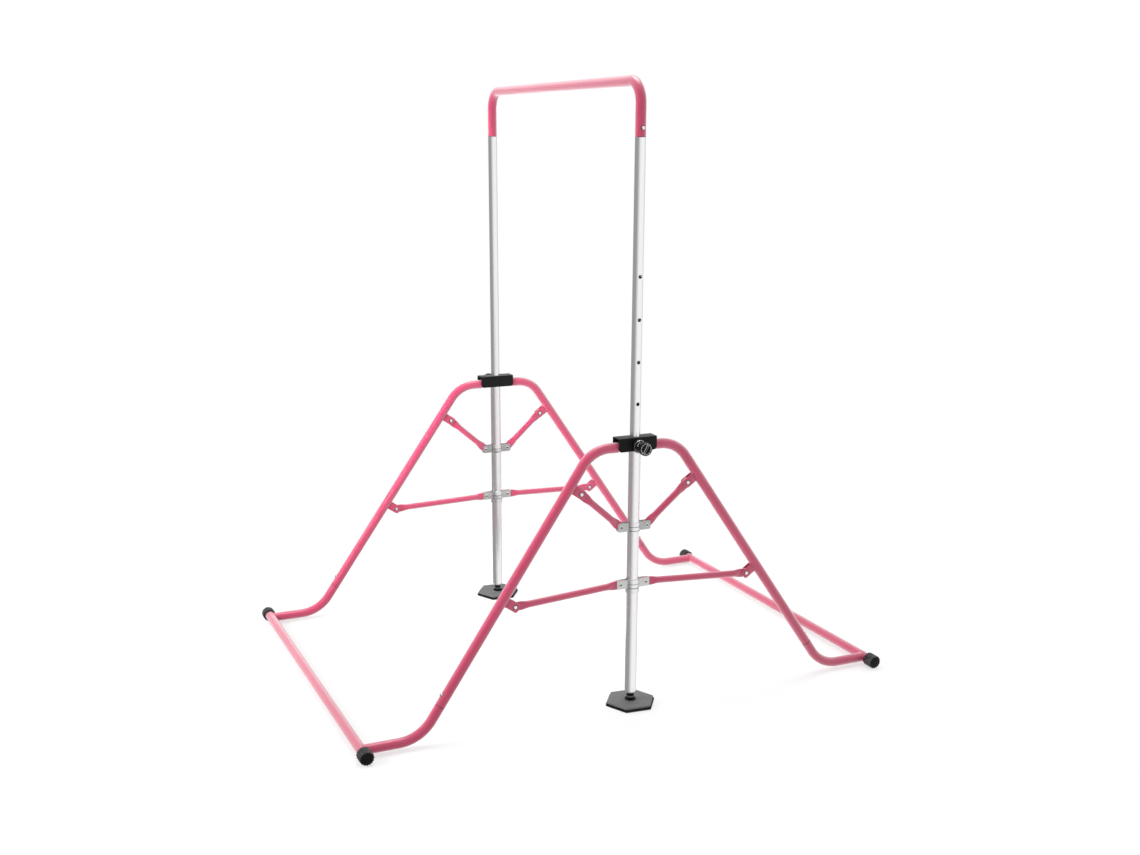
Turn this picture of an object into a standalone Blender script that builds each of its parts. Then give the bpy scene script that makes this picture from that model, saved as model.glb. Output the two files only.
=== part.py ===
"""Folding gymnastics bar: a height-adjustable bar on two uprights, each braced by a folding pair of legs.

Metres, +Z up. The bar runs along X, the legs spread along Y, and the origin is on the floor at the middle.
Left is -X, right is +X, front is -Y and rear is +Y.
"""
import math

import bmesh
import bpy
from mathutils import Matrix, Vector

# Driving dimensions
BAR_HEIGHT = 1.510          # centreline of the top bar
UPRIGHT_X = 0.460           # upright axis to the middle plane
GAP = 0.0003                # clearance between pieces that touch

BAR_R = 0.0126              # pink top bar
BAR_WALL = 0.0012
BAR_BEND = 0.050
BAR_END_Z = 1.388

INNER_R = 0.0125            # silver inner tube
INNER_WALL = 0.0012
INNER_BOTTOM = 0.476
INNER_TOP = 1.433
PLUG_IN_R = BAR_R - BAR_WALL - GAP      # reduced end inside the bar

OUTER_R = 0.0145            # silver outer tube
OUTER_WALL = 0.0015
OUTER_BOTTOM = 0.034
OUTER_TOP = 0.6935

LOCK_Z = 0.676              # height of the lock pin
HOLE_PITCH = 0.100
HOLE_COUNT = 5
HOLE_R = 0.0045

LEG_R = 0.0125              # pink legs and cross tubes
LEG_WALL = 0.0013
LEG_ANGLE = math.radians(34.7)      # straight leg from the vertical
LEG_SPLAY = 0.032           # how far a leg runs outwards for each metre that it drops
LEG_BEND = 0.085
LEG_TOP_Z = 0.672
LEG_CORNER_Y = 0.1145       # where the straight leg's axis meets the level of its top
LEG_INNER_Y = 0.0460        # inner end of the leg's tube, just inside the bracket
LEG_PIVOT_Y = 0.0400        # pin through the lug at the leg's end
LUG_HALF = 0.0050           # half the lug's height, and the radius of its end
LUG_HALF_WIDTH = 0.0060
LUG_ROOT = 0.0480           # where the lug ends inside its plug
PLUG_R = 0.0118             # plug welded into the tube's end
PLUG_START = 0.0464
PLUG_END = 0.0500
SEAM_Z = 0.092
ELBOW_BEND = 0.100
SPIGOT_LENGTH = 0.055
SHOULDER = 0.0004           # length of the step where a tube's end is reduced
SPIGOT_R = LEG_R - LEG_WALL - GAP
SPIGOT_WALL = 0.0012
BUTTON_ABOVE_SEAM = 0.026

CROSS_Y = 0.711             # cross tube axis
CROSS_Z = 0.018
CROSS_END_X = 0.531
CAP_R = 0.0167
CAP_RIB = 0.0013
CAP_RIBS = 16
CAP_LENGTH = 0.032
CAP_FACE = 0.003

BRACKET_HALF_X = 0.0175
BRACKET_HALF_Y = 0.0510
BRACKET_TOP = 0.6962
BRACKET_BOTTOM = 0.6630
BRACKET_WALL = 0.0020
BRACKET_BEND = 0.0028
BRACKET_CORNER = 0.0080

PIVOT_Y = 0.035             # collar screws, from the upright's axis
UPPER_PIN = (0.145, 0.568)  # y and z of the upper link's pin on the leg
LOWER_PIN = (0.321, 0.311)
UPPER_COLLAR_Z = 0.471
LOWER_COLLAR_Z = 0.3235
PIN_R = 0.0030
PIN_HOLE_R = 0.0033

LINK_R = 0.0085
LINK_END_WIDTH = 0.0110     # half the flattened end's width
LINK_END_THICK = 0.0041     # half its thickness
LINK_FLAT = 0.0150          # from the pin to the end of the flat
LINK_TAPER = 0.038          # from the pin to the full round

CLEVIS_HALF = 0.0066        # half the clevis's width over its plates
CLEVIS_WALL = 0.0018
CLEVIS_HALF_HEIGHT = 0.0115
CLEVIS_CORNER = 0.0065
CLEVIS_SINK = 0.0012        # how far its back stands into the leg's wall

CLAMP_GAP = 0.0044          # half the gap between the ears
CLAMP_EAR_Y = 0.0450
CLAMP_HEIGHT = 0.0225
UPPER_RING_R = 0.0150       # inside of the upper clamp, at its corners
UPPER_WALL = 0.0013
UPPER_CORNER = 0.0050       # rounding of the ears
LOWER_RING_R = 0.0160
LOWER_WALL = 0.0011
LOWER_CORNER = 0.0012
SLEEVE_IN_R = 0.0149        # sleeve inside the lower clamp, with a wider skirt below it
SLEEVE_OUT_R = 0.0155
SLEEVE_LIP = 0.0015
SKIRT_R = 0.0169
SKIRT = 0.0125
SPACER_Y = 0.0205           # spacer between the upper clamp's plates, inside the link's end

KNOB_BASE_R = 0.0170
KNOB_BASE_LENGTH = 0.0100
KNOB_R = 0.0165
KNOB_REACH = 0.0430         # front of the knob from the bracket's face
BARREL_R = 0.0070           # barrel of the knob, with a lip that the spring bears on
BARREL_BORE = 0.0055
BARREL_END = 0.0260
LIP = 0.0015
LIP_R = 0.0032
SPRING_WIRE = 0.0005
SPRING_TURNS = 4
SPRING_PRESSED = 0.0068     # the spring's length, centre to centre, when the knob is pulled

FOOT_R = 0.066              # hexagonal foot, centre to corner
FOOT_TURN = math.radians(-5)
FOOT_CORNER = 0.0050
FOOT_EDGE = 0.0012
SOLE_TOP = 0.0060
PAD_TOP = 0.0112
PAD_INSET = 0.0030

BUTTON_ABOVE_END = 0.019    # snap button from the end of the pink bar
BUTTON_HOLE_R = 0.0044
BUTTON_R = 0.0040
BUTTON_PROUD = 0.0034       # button's crown above the tube
BUTTON_FLANGE_R = 0.0050
BUTTON_FLANGE = 0.0014
LEAF_HALF = 0.0035          # leaf spring behind the button
LEAF_TAIL = 0.006
LEAF_LENGTH = 0.034

HEAD_R = 0.0048             # domed heads of rivets and screws
HEAD_CROWN_R = 0.0026
HEAD_HEIGHT = 0.0022
SPACER_R = 0.0016

TUBE_RES = 6                # bevel resolution: 16 sides
BEND_STEP = math.radians(15.1)      # most turn in one step of a bend
LINK_SECTORS = 12
RING_STEPS = 8              # sides of half a clamp's ring
CORNER_STEPS = 3            # sides of a foot's rounded corner
HEAD_SEGMENTS = 8
SMALL_SEGMENTS = 12

PINK = (0.62, 0.105, 0.215)
SILVER = (0.62, 0.62, 0.63)
STEEL = (0.70, 0.70, 0.72)
BLACK = (0.017, 0.017, 0.018)
RUBBER = (0.012, 0.012, 0.012)
GREY = (0.15, 0.15, 0.155)
PALE_GREY = (0.45, 0.46, 0.47)

SIDES = {"left": -1, "right": 1}
ENDS = {"front": -1, "rear": 1}


def clear_scene():
    for old in list(bpy.data.objects):
        bpy.data.objects.remove(old, do_unlink=True)


def make_collection(name):
    made = bpy.data.collections.new(name)
    bpy.context.scene.collection.children.link(made)
    return made


def make_material(name, colour, roughness, metallic):
    made = bpy.data.materials.new(name)
    made.use_nodes = True
    shader = made.node_tree.nodes["Principled BSDF"]
    shader.inputs["Base Color"].default_value = (*colour, 1.0)
    shader.inputs["Roughness"].default_value = roughness
    shader.inputs["Metallic"].default_value = metallic
    return made


def add_axis(name, place):
    """An empty on a joint's axis, which carries the pieces that move about it."""
    axis = bpy.data.objects.new(name, None)
    axis.location = place
    axis.empty_display_size = 0.03
    PARTS.objects.link(axis)
    return axis


def keep(name, mesh, finish, axis=None):
    """Make a node from a mesh given in world coordinates, with its own material."""
    mesh.name = name
    node = bpy.data.objects.new(name, mesh)
    PARTS.objects.link(node)
    mesh.materials.clear()
    mesh.materials.append(make_material(name, *finish))
    mesh.shade_smooth()
    mesh.set_sharp_from_angle(angle=math.radians(35))
    if axis:
        node.parent = axis
        node.location = -axis.location
    return node


def as_mesh(source):
    """Take an object's evaluated mesh, closed and with its normals outward, and remove the object."""
    bpy.context.view_layer.update()
    evaluated = source.evaluated_get(bpy.context.evaluated_depsgraph_get())
    mesh = bpy.data.meshes.new_from_object(evaluated)
    mesh.transform(source.matrix_world)
    bpy.data.objects.remove(source, do_unlink=True)
    shape = bmesh.new()
    shape.from_mesh(mesh)
    bmesh.ops.remove_doubles(shape, verts=shape.verts, dist=0.000002)
    bmesh.ops.recalc_face_normals(shape, faces=shape.faces)
    shape.to_mesh(mesh)
    shape.free()
    return mesh


def temporary(mesh):
    made = bpy.data.objects.new("working", mesh)
    CUTTERS.objects.link(made)
    made.hide_render = True
    made.display_type = "WIRE"
    return made


def combine(mesh, others, operation="DIFFERENCE"):
    """Cut meshes away from a mesh, or unite them with it, one after another."""
    for other in others:
        body = temporary(mesh)
        tool = temporary(other)
        step = body.modifiers.new("cut", "BOOLEAN")
        step.object = tool
        step.operation = operation
        step.solver = "EXACT"
        mesh = as_mesh(body)
        bpy.data.objects.remove(tool, do_unlink=True)
    return mesh


def cylinder(start, end, radius, segments=SMALL_SEGMENTS, turn=0.0):
    """A capped cylinder between two points."""
    start, end = Vector(start), Vector(end)
    shape = bmesh.new()
    bmesh.ops.create_cone(shape, cap_ends=True, segments=segments, radius1=radius, radius2=radius,
                          depth=(end - start).length)
    aim = (end - start).to_track_quat("Z", "Y").to_matrix().to_4x4()
    spin = Matrix.Rotation(turn, 4, "Z")
    bmesh.ops.transform(shape, matrix=Matrix.Translation((start + end) / 2) @ aim @ spin, verts=shape.verts)
    mesh = bpy.data.meshes.new("cylinder")
    shape.to_mesh(mesh)
    shape.free()
    return mesh


def turned(profile, place, direction, segments=SMALL_SEGMENTS):
    """Turn a profile of (radius, distance) about an axis. Distances run along the direction, from its far end."""
    shape = bmesh.new()
    points = [shape.verts.new((radius, 0.0, along)) for radius, along in profile]
    for first, second in zip(points, points[1:]):
        shape.edges.new((first, second))
    mesh = bpy.data.meshes.new("profile")
    shape.to_mesh(mesh)
    shape.free()
    working = temporary(mesh)
    screw = working.modifiers.new("turn", "SCREW")
    screw.steps = segments
    screw.render_steps = segments
    screw.use_merge_vertices = True
    screw.merge_threshold = 0.00001
    aim = Vector(direction).to_track_quat("Z", "Y").to_matrix().to_4x4()
    working.matrix_world = Matrix.Translation(place) @ aim
    return as_mesh(working)


def filleted(corners, radius):
    """Points along straight runs whose inner corners are rounded by arcs."""
    corners = [Vector(corner) for corner in corners]
    points = [corners[0]]
    for before, corner, after in zip(corners, corners[1:], corners[2:]):
        into = (corner - before).normalized()
        out = (after - corner).normalized()
        turn = into.angle(out)
        reach = radius * math.tan(turn / 2)
        begin = corner - into * reach
        side = (out - into * math.cos(turn)).normalized()
        steps = math.ceil(turn / BEND_STEP)
        for step in range(steps + 1):
            angle = turn * step / steps
            points.append(begin + into * (radius * math.sin(angle)) + side * (radius * (1 - math.cos(angle))))
    points.append(corners[-1])
    return points


def tube(points, radius, wall, scales=None):
    """A hollow tube along points, open at both ends."""
    curve = bpy.data.curves.new("tube", "CURVE")
    curve.dimensions = "3D"
    curve.bevel_depth = radius
    curve.bevel_resolution = TUBE_RES
    curve.use_fill_caps = False
    line = curve.splines.new("POLY")
    line.points.add(len(points) - 1)
    for index, point in enumerate(points):
        line.points[index].co = (*point, 1.0)
        line.points[index].radius = scales[index] if scales else 1.0
    run = bpy.data.objects.new("tube", curve)
    CUTTERS.objects.link(run)
    skin = temporary(as_mesh(run))
    shell = skin.modifiers.new("wall", "SOLIDIFY")
    shell.thickness = wall
    shell.offset = -1
    shell.use_even_offset = True
    return as_mesh(skin)


def spring(start, direction, length, radius, wire, turns):
    """A coil along a direction, as one unbroken wire with filled ends."""
    per_turn = 7
    aim = Vector(direction).to_track_quat("Z", "Y").to_matrix()
    curve = bpy.data.curves.new("coil", "CURVE")
    curve.dimensions = "3D"
    curve.bevel_depth = wire
    curve.bevel_resolution = 1
    curve.use_fill_caps = True
    line = curve.splines.new("POLY")
    count = turns * per_turn + 1
    line.points.add(count - 1)
    for index in range(count):
        angle = 2 * math.pi * index / per_turn
        point = Vector((radius * math.cos(angle), radius * math.sin(angle), length * index / (count - 1)))
        line.points[index].co = (*(Vector(start) + aim @ point), 1.0)
    coil = bpy.data.objects.new("coil", curve)
    CUTTERS.objects.link(coil)
    return as_mesh(coil)


def block(low, high):
    low, high = Vector(low), Vector(high)
    shape = bmesh.new()
    bmesh.ops.create_cube(shape, size=1.0)
    size = high - low
    bmesh.ops.transform(shape, matrix=Matrix.Translation((low + high) / 2) @ Matrix.Diagonal((*size, 1.0)),
                        verts=shape.verts)
    mesh = bpy.data.meshes.new("block")
    shape.to_mesh(mesh)
    shape.free()
    return mesh


def prism(ring, depth):
    """A closed solid: a flat ring of points drawn out by a vector."""
    shape = bmesh.new()
    near = [shape.verts.new(point) for point in ring]
    far = [shape.verts.new(Vector(point) + depth) for point in ring]
    shape.faces.new(near)
    shape.faces.new(far)
    for index in range(len(ring)):
        after = (index + 1) % len(ring)
        shape.faces.new((near[index], near[after], far[after], far[index]))
    bmesh.ops.recalc_face_normals(shape, faces=shape.faces)
    mesh = bpy.data.meshes.new("prism")
    shape.to_mesh(mesh)
    shape.free()
    return mesh


def folded_plate(low, high, open_faces, wall, bend_edges, bend, round_corners, corner):
    """Bend a plate round a box: some faces stay open, some edges are bent and some corners rounded."""
    box = block(low, high)
    shape = bmesh.new()
    shape.from_mesh(box)
    shape.faces.ensure_lookup_table()
    gone = [face for face in shape.faces if open_faces(face.normal)]
    bmesh.ops.delete(shape, geom=gone, context="FACES_ONLY")
    loose = [edge for edge in shape.edges if not edge.link_faces]
    bmesh.ops.delete(shape, geom=loose, context="EDGES")
    corners = [vert for vert in shape.verts if round_corners(vert.co)]
    bmesh.ops.bevel(shape, geom=corners, offset=corner, segments=4, affect="VERTICES", profile=0.5)
    edges = [edge for edge in shape.edges if len(edge.link_faces) == 2 and bend_edges(edge)]
    bmesh.ops.bevel(shape, geom=edges, offset=bend, segments=3, affect="EDGES", profile=0.5)
    mesh = bpy.data.meshes.new("plate")
    shape.to_mesh(mesh)
    shape.free()
    skin = temporary(mesh)
    shell = skin.modifiers.new("wall", "SOLIDIFY")
    shell.thickness = wall
    shell.offset = -1
    shell.use_even_offset = True
    return as_mesh(skin)


def leg_x(side, height):
    """Where a leg stands at a height: its foot is wider out than its top."""
    return side * (UPRIGHT_X + LEG_SPLAY * (LEG_TOP_Z - height))


def leg_direction(side, end):
    """Down the straight leg."""
    return Vector((side * LEG_SPLAY, end * math.tan(LEG_ANGLE), -1)).normalized()


def leg_normal(end):
    """Away from the upright, square to the straight leg."""
    return Vector((0, end * math.cos(LEG_ANGLE), math.sin(LEG_ANGLE)))


def leg_point(side, end, height):
    """The point of the straight leg's axis at a height."""
    drop = LEG_TOP_Z - height
    return Vector((leg_x(side, height), end * (LEG_CORNER_Y + drop * math.tan(LEG_ANGLE)), height))


def link_pin(side, end, pin):
    """A pin between a leg's clevis and its link."""
    return Vector((leg_x(side, pin[1]), end * pin[0], pin[1]))


def side_drill(side, height, radius):
    """A cutter through the outer wall of one upright's tubes."""
    return cylinder((side * (UPRIGHT_X + 0.005), 0, height), (side * (UPRIGHT_X + 0.02), 0, height), radius)


def make_bar(axis):
    corners = [(-UPRIGHT_X, 0, BAR_END_Z), (-UPRIGHT_X, 0, BAR_HEIGHT), (UPRIGHT_X, 0, BAR_HEIGHT),
               (UPRIGHT_X, 0, BAR_END_Z)]
    bar = tube(filleted(corners, BAR_BEND), BAR_R, BAR_WALL)
    button_z = BAR_END_Z + BUTTON_ABOVE_END
    holes = [side_drill(side, button_z, BUTTON_HOLE_R) for side in SIDES.values()]
    keep("top_bar", combine(bar, holes), (PINK, 0.32, 0.0), axis)
    for name, side in SIDES.items():
        x = side * UPRIGHT_X
        shoulder = BAR_END_Z - GAP
        levels = [INNER_BOTTOM, shoulder - SHOULDER, shoulder, INNER_TOP]
        reduced = PLUG_IN_R / INNER_R
        inner = tube([(x, 0, z) for z in levels], INNER_R, INNER_WALL, [1.0, 1.0, reduced, reduced])
        heights = [LOCK_Z + HOLE_PITCH * step for step in range(HOLE_COUNT)]
        cuts = [side_drill(side, z, HOLE_R) for z in heights] + [side_drill(side, button_z, BUTTON_HOLE_R)]
        keep(f"{name}_inner_tube", combine(inner, cuts), (SILVER, 0.28, 0.9), axis)
        make_button(f"{name}_bar_button", Vector((x, 0, button_z)), Vector((side, 0, 0)), Vector((0, 0, -1)), BAR_R,
                    PLUG_IN_R - INNER_WALL)


def make_button(name, centre, outward, along, outer_radius, bore):
    """A snap button that stands out of a tube, with its leaf inside the bore."""
    seat = math.sqrt(bore ** 2 - BUTTON_FLANGE_R ** 2) - GAP
    top = outer_radius + BUTTON_PROUD
    profile = [(0, top), (0.0022, top - 0.0004), (0.0036, top - 0.0016), (BUTTON_R, top - 0.0032), (BUTTON_R, seat),
               (BUTTON_FLANGE_R, seat), (BUTTON_FLANGE_R, seat - BUTTON_FLANGE), (0, seat - BUTTON_FLANGE)]
    head = turned(profile, centre, outward, 10)
    leaf = block((-LEAF_HALF, seat - 0.0022, -LEAF_TAIL), (LEAF_HALF, seat - 0.0010, LEAF_LENGTH))
    frame = Matrix((outward.cross(along), outward, along)).transposed().to_4x4()
    leaf.transform(Matrix.Translation(centre) @ frame)
    fix_normals(leaf)
    axis = add_axis(name + "_axis", centre)
    keep(name, combine(head, [leaf], "UNION"), (STEEL, 0.2, 1.0), axis)


def fix_normals(mesh):
    shape = bmesh.new()
    shape.from_mesh(mesh)
    bmesh.ops.recalc_face_normals(shape, faces=shape.faces)
    shape.to_mesh(mesh)
    shape.free()


def make_uprights():
    for name, side in SIDES.items():
        x = side * UPRIGHT_X
        outer = tube([(x, 0, OUTER_BOTTOM), (x, 0, OUTER_TOP)], OUTER_R, OUTER_WALL)
        keep(f"{name}_outer_tube", combine(outer, [side_drill(side, LOCK_Z, HOLE_R)]), (SILVER, 0.28, 0.9))


def make_feet():
    plug = OUTER_R - OUTER_WALL - GAP
    for name, side in SIDES.items():
        place = (side * UPRIGHT_X, 0, 0)
        profile = [(0, 0.055), (plug, 0.055), (plug, OUTER_BOTTOM - 0.0005), (0.0042, OUTER_BOTTOM - 0.0005),
                   (0.0042, 0.0285), (0.0085, 0.0285), (0.0105, 0.0225), (0.0045, 0.0210), (0.0045, 0.0155),
                   (0.0140, 0.0145), (0.0140, PAD_TOP + GAP), (0, PAD_TOP + GAP)]
        keep(f"{name}_foot_stem", turned(profile, place, (0, 0, 1), 16), (BLACK, 0.45, 0.0))
        axis = add_axis(f"{name}_foot_axis", place)
        turn = FOOT_TURN + math.pi / 6
        pad = foot_plate(place, FOOT_R - PAD_INSET, SOLE_TOP + GAP, PAD_TOP, turn)
        keep(f"{name}_foot_pad", pad, (GREY, 0.75, 0.0), axis)
        sole = foot_plate(place, FOOT_R, 0.0, SOLE_TOP, turn)
        keep(f"{name}_foot_sole", sole, (RUBBER, 0.85, 0.0), axis)


def foot_plate(place, radius, low, high, turn):
    """A hexagonal plate with rounded corners and bevelled edges."""
    place = Vector(place)
    outline = []
    for index in range(6):
        middle = turn + math.pi / 3 * index
        for step in range(CORNER_STEPS + 1):
            angle = middle + math.pi / 3 * (step / CORNER_STEPS - 0.5)
            across = (radius - FOOT_CORNER) * math.cos(middle) + FOOT_CORNER * math.cos(angle)
            along = (radius - FOOT_CORNER) * math.sin(middle) + FOOT_CORNER * math.sin(angle)
            outline.append(place + Vector((across, along, low)))
    body = temporary(prism(outline, Vector((0, 0, high - low))))
    edge = body.modifiers.new("edges", "BEVEL")
    edge.width = FOOT_EDGE
    edge.segments = 2
    edge.limit_method = "ANGLE"
    return as_mesh(body)


def make_brackets(axis):
    for name, side in SIDES.items():
        x = side * UPRIGHT_X
        channel = folded_plate(
            (x - BRACKET_HALF_X, -BRACKET_HALF_Y, BRACKET_BOTTOM), (x + BRACKET_HALF_X, BRACKET_HALF_Y, BRACKET_TOP),
            lambda normal: abs(normal.y) > 0.5 or normal.z < -0.5, BRACKET_WALL,
            lambda edge: abs(edge.verts[0].co.y - edge.verts[1].co.y) > 0.02, BRACKET_BEND,
            lambda point: point.z < BRACKET_BOTTOM + 0.001, BRACKET_CORNER)
        bore = cylinder((x, 0, BRACKET_TOP - 0.01), (x, 0, BRACKET_TOP + 0.01), INNER_R + 0.0006, 16, math.pi / 16)
        face = x + side * BRACKET_HALF_X
        hole = cylinder((face - side * 0.008, 0, LOCK_Z), (face + side * 0.008, 0, LOCK_Z), BARREL_R + GAP)
        keep(f"{name}_bracket", combine(channel, [bore, hole]), (BLACK, 0.38, 0.2), axis)
        outward = (side, 0, 0)
        on_face = (face, 0, LOCK_Z)
        base = [(LIP_R, BARREL_END), (BARREL_R, BARREL_END), (BARREL_R, KNOB_BASE_LENGTH), (0.0150, KNOB_BASE_LENGTH),
                (KNOB_BASE_R, 0.0080), (KNOB_BASE_R, 0.0008), (0.0162, GAP), (BARREL_R, GAP), (BARREL_R, -0.0020),
                (0.0044, -0.0020), (0.0044, 0.0030), (BARREL_BORE, 0.0030), (BARREL_BORE, BARREL_END - LIP),
                (LIP_R, BARREL_END - LIP), (LIP_R, BARREL_END)]
        keep(f"{name}_knob_base", turned(base, on_face, outward, 16), (BLACK, 0.4, 0.0), axis)
        make_knob(name, side, on_face)


def make_knob(name, side, face):
    """The pull knob of one bracket: cap, raised bar, lock pin and spring."""
    outward = Vector((side, 0, 0))
    axis = add_axis(f"{name}_knob_axis", face)
    neck = KNOB_BASE_LENGTH + 0.0010
    cap = [(0, KNOB_REACH - 0.0020), (0.0125, KNOB_REACH - 0.0020), (0.0140, KNOB_REACH), (0.0158, KNOB_REACH - 0.0006),
           (KNOB_R, KNOB_REACH - 0.0025), (KNOB_R, KNOB_REACH - 0.0110), (0.0125, KNOB_REACH - 0.0150),
           (0.0125, neck + 0.004), (0.0145, neck), (0.0080, neck), (0.0080, KNOB_REACH - 0.0060),
           (0, KNOB_REACH - 0.0060)]
    keep(f"{name}_knob_cap", turned(cap, face, outward, 20), (BLACK, 0.42, 0.0), axis)
    half_length, half_width = 0.0105, 0.0024
    low = KNOB_REACH - 0.0020 + GAP
    bar = block((-half_width, -half_length, low), (half_width, half_length, low + 0.0022))
    aim = Matrix(((0, 0, side), (1, 0, 0), (0, 1, 0))).to_4x4()
    bar.transform(Matrix.Translation(face) @ aim @ Matrix.Rotation(side * math.radians(-28), 4, "Z"))
    fix_normals(bar)
    keep(f"{name}_knob_bar", bar, (PALE_GREY, 0.5, 0.0), axis)
    tip = OUTER_R + GAP - BRACKET_HALF_X
    pin = [(0, KNOB_REACH - 0.0064), (0.0052, KNOB_REACH - 0.0064), (0.0052, KNOB_REACH - 0.0100),
           (0.0028, KNOB_REACH - 0.0100), (0.0028, 0.0060), (0.0051, 0.0060), (0.0051, 0.0045), (0.0040, 0.0045),
           (0.0040, tip + 0.0008), (0.0030, tip), (0, tip)]
    keep(f"{name}_lock_pin", turned(pin, face, outward, 10), (STEEL, 0.25, 1.0), axis)
    pressed = BARREL_END - LIP - GAP - SPRING_WIRE - SPRING_PRESSED
    coil = spring(Vector(face) + outward * pressed, outward, SPRING_PRESSED, 0.0044, SPRING_WIRE, SPRING_TURNS)
    keep(f"{name}_knob_spring", coil, (STEEL, 0.3, 1.0))


def make_leg_frame(end_name, end, leg_axis):
    """Both legs of one side with their elbows, cross tube, caps, clevises and pins."""
    for name, side in SIDES.items():
        x = side * UPRIGHT_X
        top = Vector((x, end * LEG_INNER_Y, LEG_TOP_Z))
        corner = Vector((x, end * LEG_CORNER_Y, LEG_TOP_Z))
        seam = leg_point(side, end, SEAM_Z)
        leg = tube(filleted([top, corner, seam], LEG_BEND), LEG_R, LEG_WALL)
        pivot = Vector((x, end * LEG_PIVOT_Y, LEG_TOP_Z))
        reach = Vector((BRACKET_HALF_X - BRACKET_WALL - GAP, 0, 0))
        button = seam - leg_direction(side, end) * BUTTON_ABOVE_SEAM
        button_hole = cylinder(button + leg_normal(end) * 0.004, button + leg_normal(end) * 0.02, BUTTON_HOLE_R)
        plug = cylinder((x, end * PLUG_START, LEG_TOP_Z), (x, end * PLUG_END, LEG_TOP_Z), PLUG_R)
        fittings = [plug, make_lug(pivot, end), cylinder(pivot - reach, pivot + reach, PIN_R, 10)]
        fittings += [make_clevis(link_pin(side, end, place), end) for place in (UPPER_PIN, LOWER_PIN)]
        leg = combine(combine(leg, [button_hole]), fittings, "UNION")
        keep(f"{end_name}_{name}_leg", leg, (PINK, 0.32, 0.0), leg_axis)
        make_elbow(f"{end_name}_{name}_elbow", side, end, button_hole, leg_axis)
        make_button(f"{end_name}_{name}_leg_button", button, leg_normal(end), -leg_direction(side, end), LEG_R,
                    SPIGOT_R - SPIGOT_WALL)
        keep(f"{end_name}_{name}_end_cap", make_cap(side, end), (BLACK, 0.5, 0.0), leg_axis)
    inner_end = CROSS_END_X - CAP_FACE - GAP
    cross = tube([(-inner_end, end * CROSS_Y, CROSS_Z), (inner_end, end * CROSS_Y, CROSS_Z)], LEG_R, LEG_WALL)
    keep(f"{end_name}_cross_tube", cross, (PINK, 0.32, 0.0), leg_axis)


def make_lug(pivot, end):
    """The flat lug at the end of a leg, rounded about its pin."""
    root = end * (LUG_ROOT - LEG_PIVOT_Y)
    outline = [(root, -LUG_HALF)]
    for step in range(7):
        angle = math.pi * (step / 6 - 0.5)
        outline.append((-end * LUG_HALF * math.cos(angle), LUG_HALF * math.sin(angle)))
    outline.append((root, LUG_HALF))
    ring = [pivot + Vector((-LUG_HALF_WIDTH, along, up)) for along, up in outline]
    return prism(ring, Vector((2 * LUG_HALF_WIDTH, 0, 0)))


def make_elbow(name, side, end, button_hole, leg_axis):
    """The lower piece of a leg: a reduced end inside the leg, a bend, and a level run to the cross tube."""
    down = leg_direction(side, end)
    seam = leg_point(side, end, SEAM_Z)
    ground = leg_point(side, end, CROSS_Z)
    last = Vector((ground.x, end * (CROSS_Y - 0.004), CROSS_Z))
    seam_below = seam + down * GAP
    run = filleted([seam_below + down * SHOULDER, ground, last], ELBOW_BEND)
    points = [seam - down * SPIGOT_LENGTH, seam_below] + run
    scales = [SPIGOT_R / LEG_R] * 2 + [1.0] * len(run)
    elbow = tube(points, LEG_R, SPIGOT_WALL, scales)
    centre = Vector((ground.x, end * CROSS_Y, CROSS_Z))
    reach = Vector((0.04, 0, 0))
    saddle = cylinder(centre - reach, centre + reach, LEG_R + GAP, 24)
    keep(name, combine(elbow, [saddle, button_hole]), (PINK, 0.32, 0.0), leg_axis)


def make_cap(side, end):
    """A ribbed cup over the end of a cross tube, with a flat outer face."""
    count = CAP_RIBS * 3
    inner = CROSS_END_X - CAP_LENGTH
    start = inner if side > 0 else -CROSS_END_X
    ring = []
    for index in range(count):
        angle = 2 * math.pi * index / count
        radius = CAP_R + CAP_RIB * math.cos(CAP_RIBS * angle)
        ring.append((start, end * CROSS_Y + radius * math.sin(angle), CROSS_Z - radius * math.cos(angle)))
    mesh = prism(ring, Vector((CAP_LENGTH, 0, 0)))
    bore_start = (side * (inner - 0.01), end * CROSS_Y, CROSS_Z)
    bore_end = (side * (CROSS_END_X - CAP_FACE), end * CROSS_Y, CROSS_Z)
    return combine(mesh, [cylinder(bore_start, bore_end, LEG_R + 0.0006, 16)])


def make_clevis(pin, end):
    """A U of plate welded to the inner side of a leg, with the link's rivet through its rounded end."""
    to_pin = -leg_normal(end)
    on_axis = leg_point(0, end, pin.z)
    on_axis.x = pin.x
    distance = (pin - on_axis).dot(to_pin)
    back = distance - LEG_R + CLEVIS_SINK
    low = (-CLEVIS_HALF, -back, -CLEVIS_HALF_HEIGHT)
    high = (CLEVIS_HALF, CLEVIS_HALF_HEIGHT, CLEVIS_HALF_HEIGHT)
    plate = folded_plate(low, high, lambda normal: normal.y > 0.5 or abs(normal.z) > 0.5, CLEVIS_WALL,
                         lambda edge: abs(edge.verts[0].co.z - edge.verts[1].co.z) > 0.01, 0.0022,
                         lambda point: point.y > 0, CLEVIS_CORNER)
    plate = combine(plate, [make_rivet((0, 0, 0), CLEVIS_HALF)], "UNION")
    up = -leg_direction(0, end)
    frame = Matrix((Vector((end, 0, 0)), to_pin, up)).transposed().to_4x4()
    plate.transform(Matrix.Translation(pin) @ frame)
    fix_normals(plate)
    return plate


def head_profile(half):
    """A domed head whose underside sits just inside a plate's face."""
    seat = half - 0.0002
    return [(0, seat + HEAD_HEIGHT), (HEAD_CROWN_R, seat + HEAD_HEIGHT * 0.8), (HEAD_R, seat + 0.0003), (HEAD_R, seat)]


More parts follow.
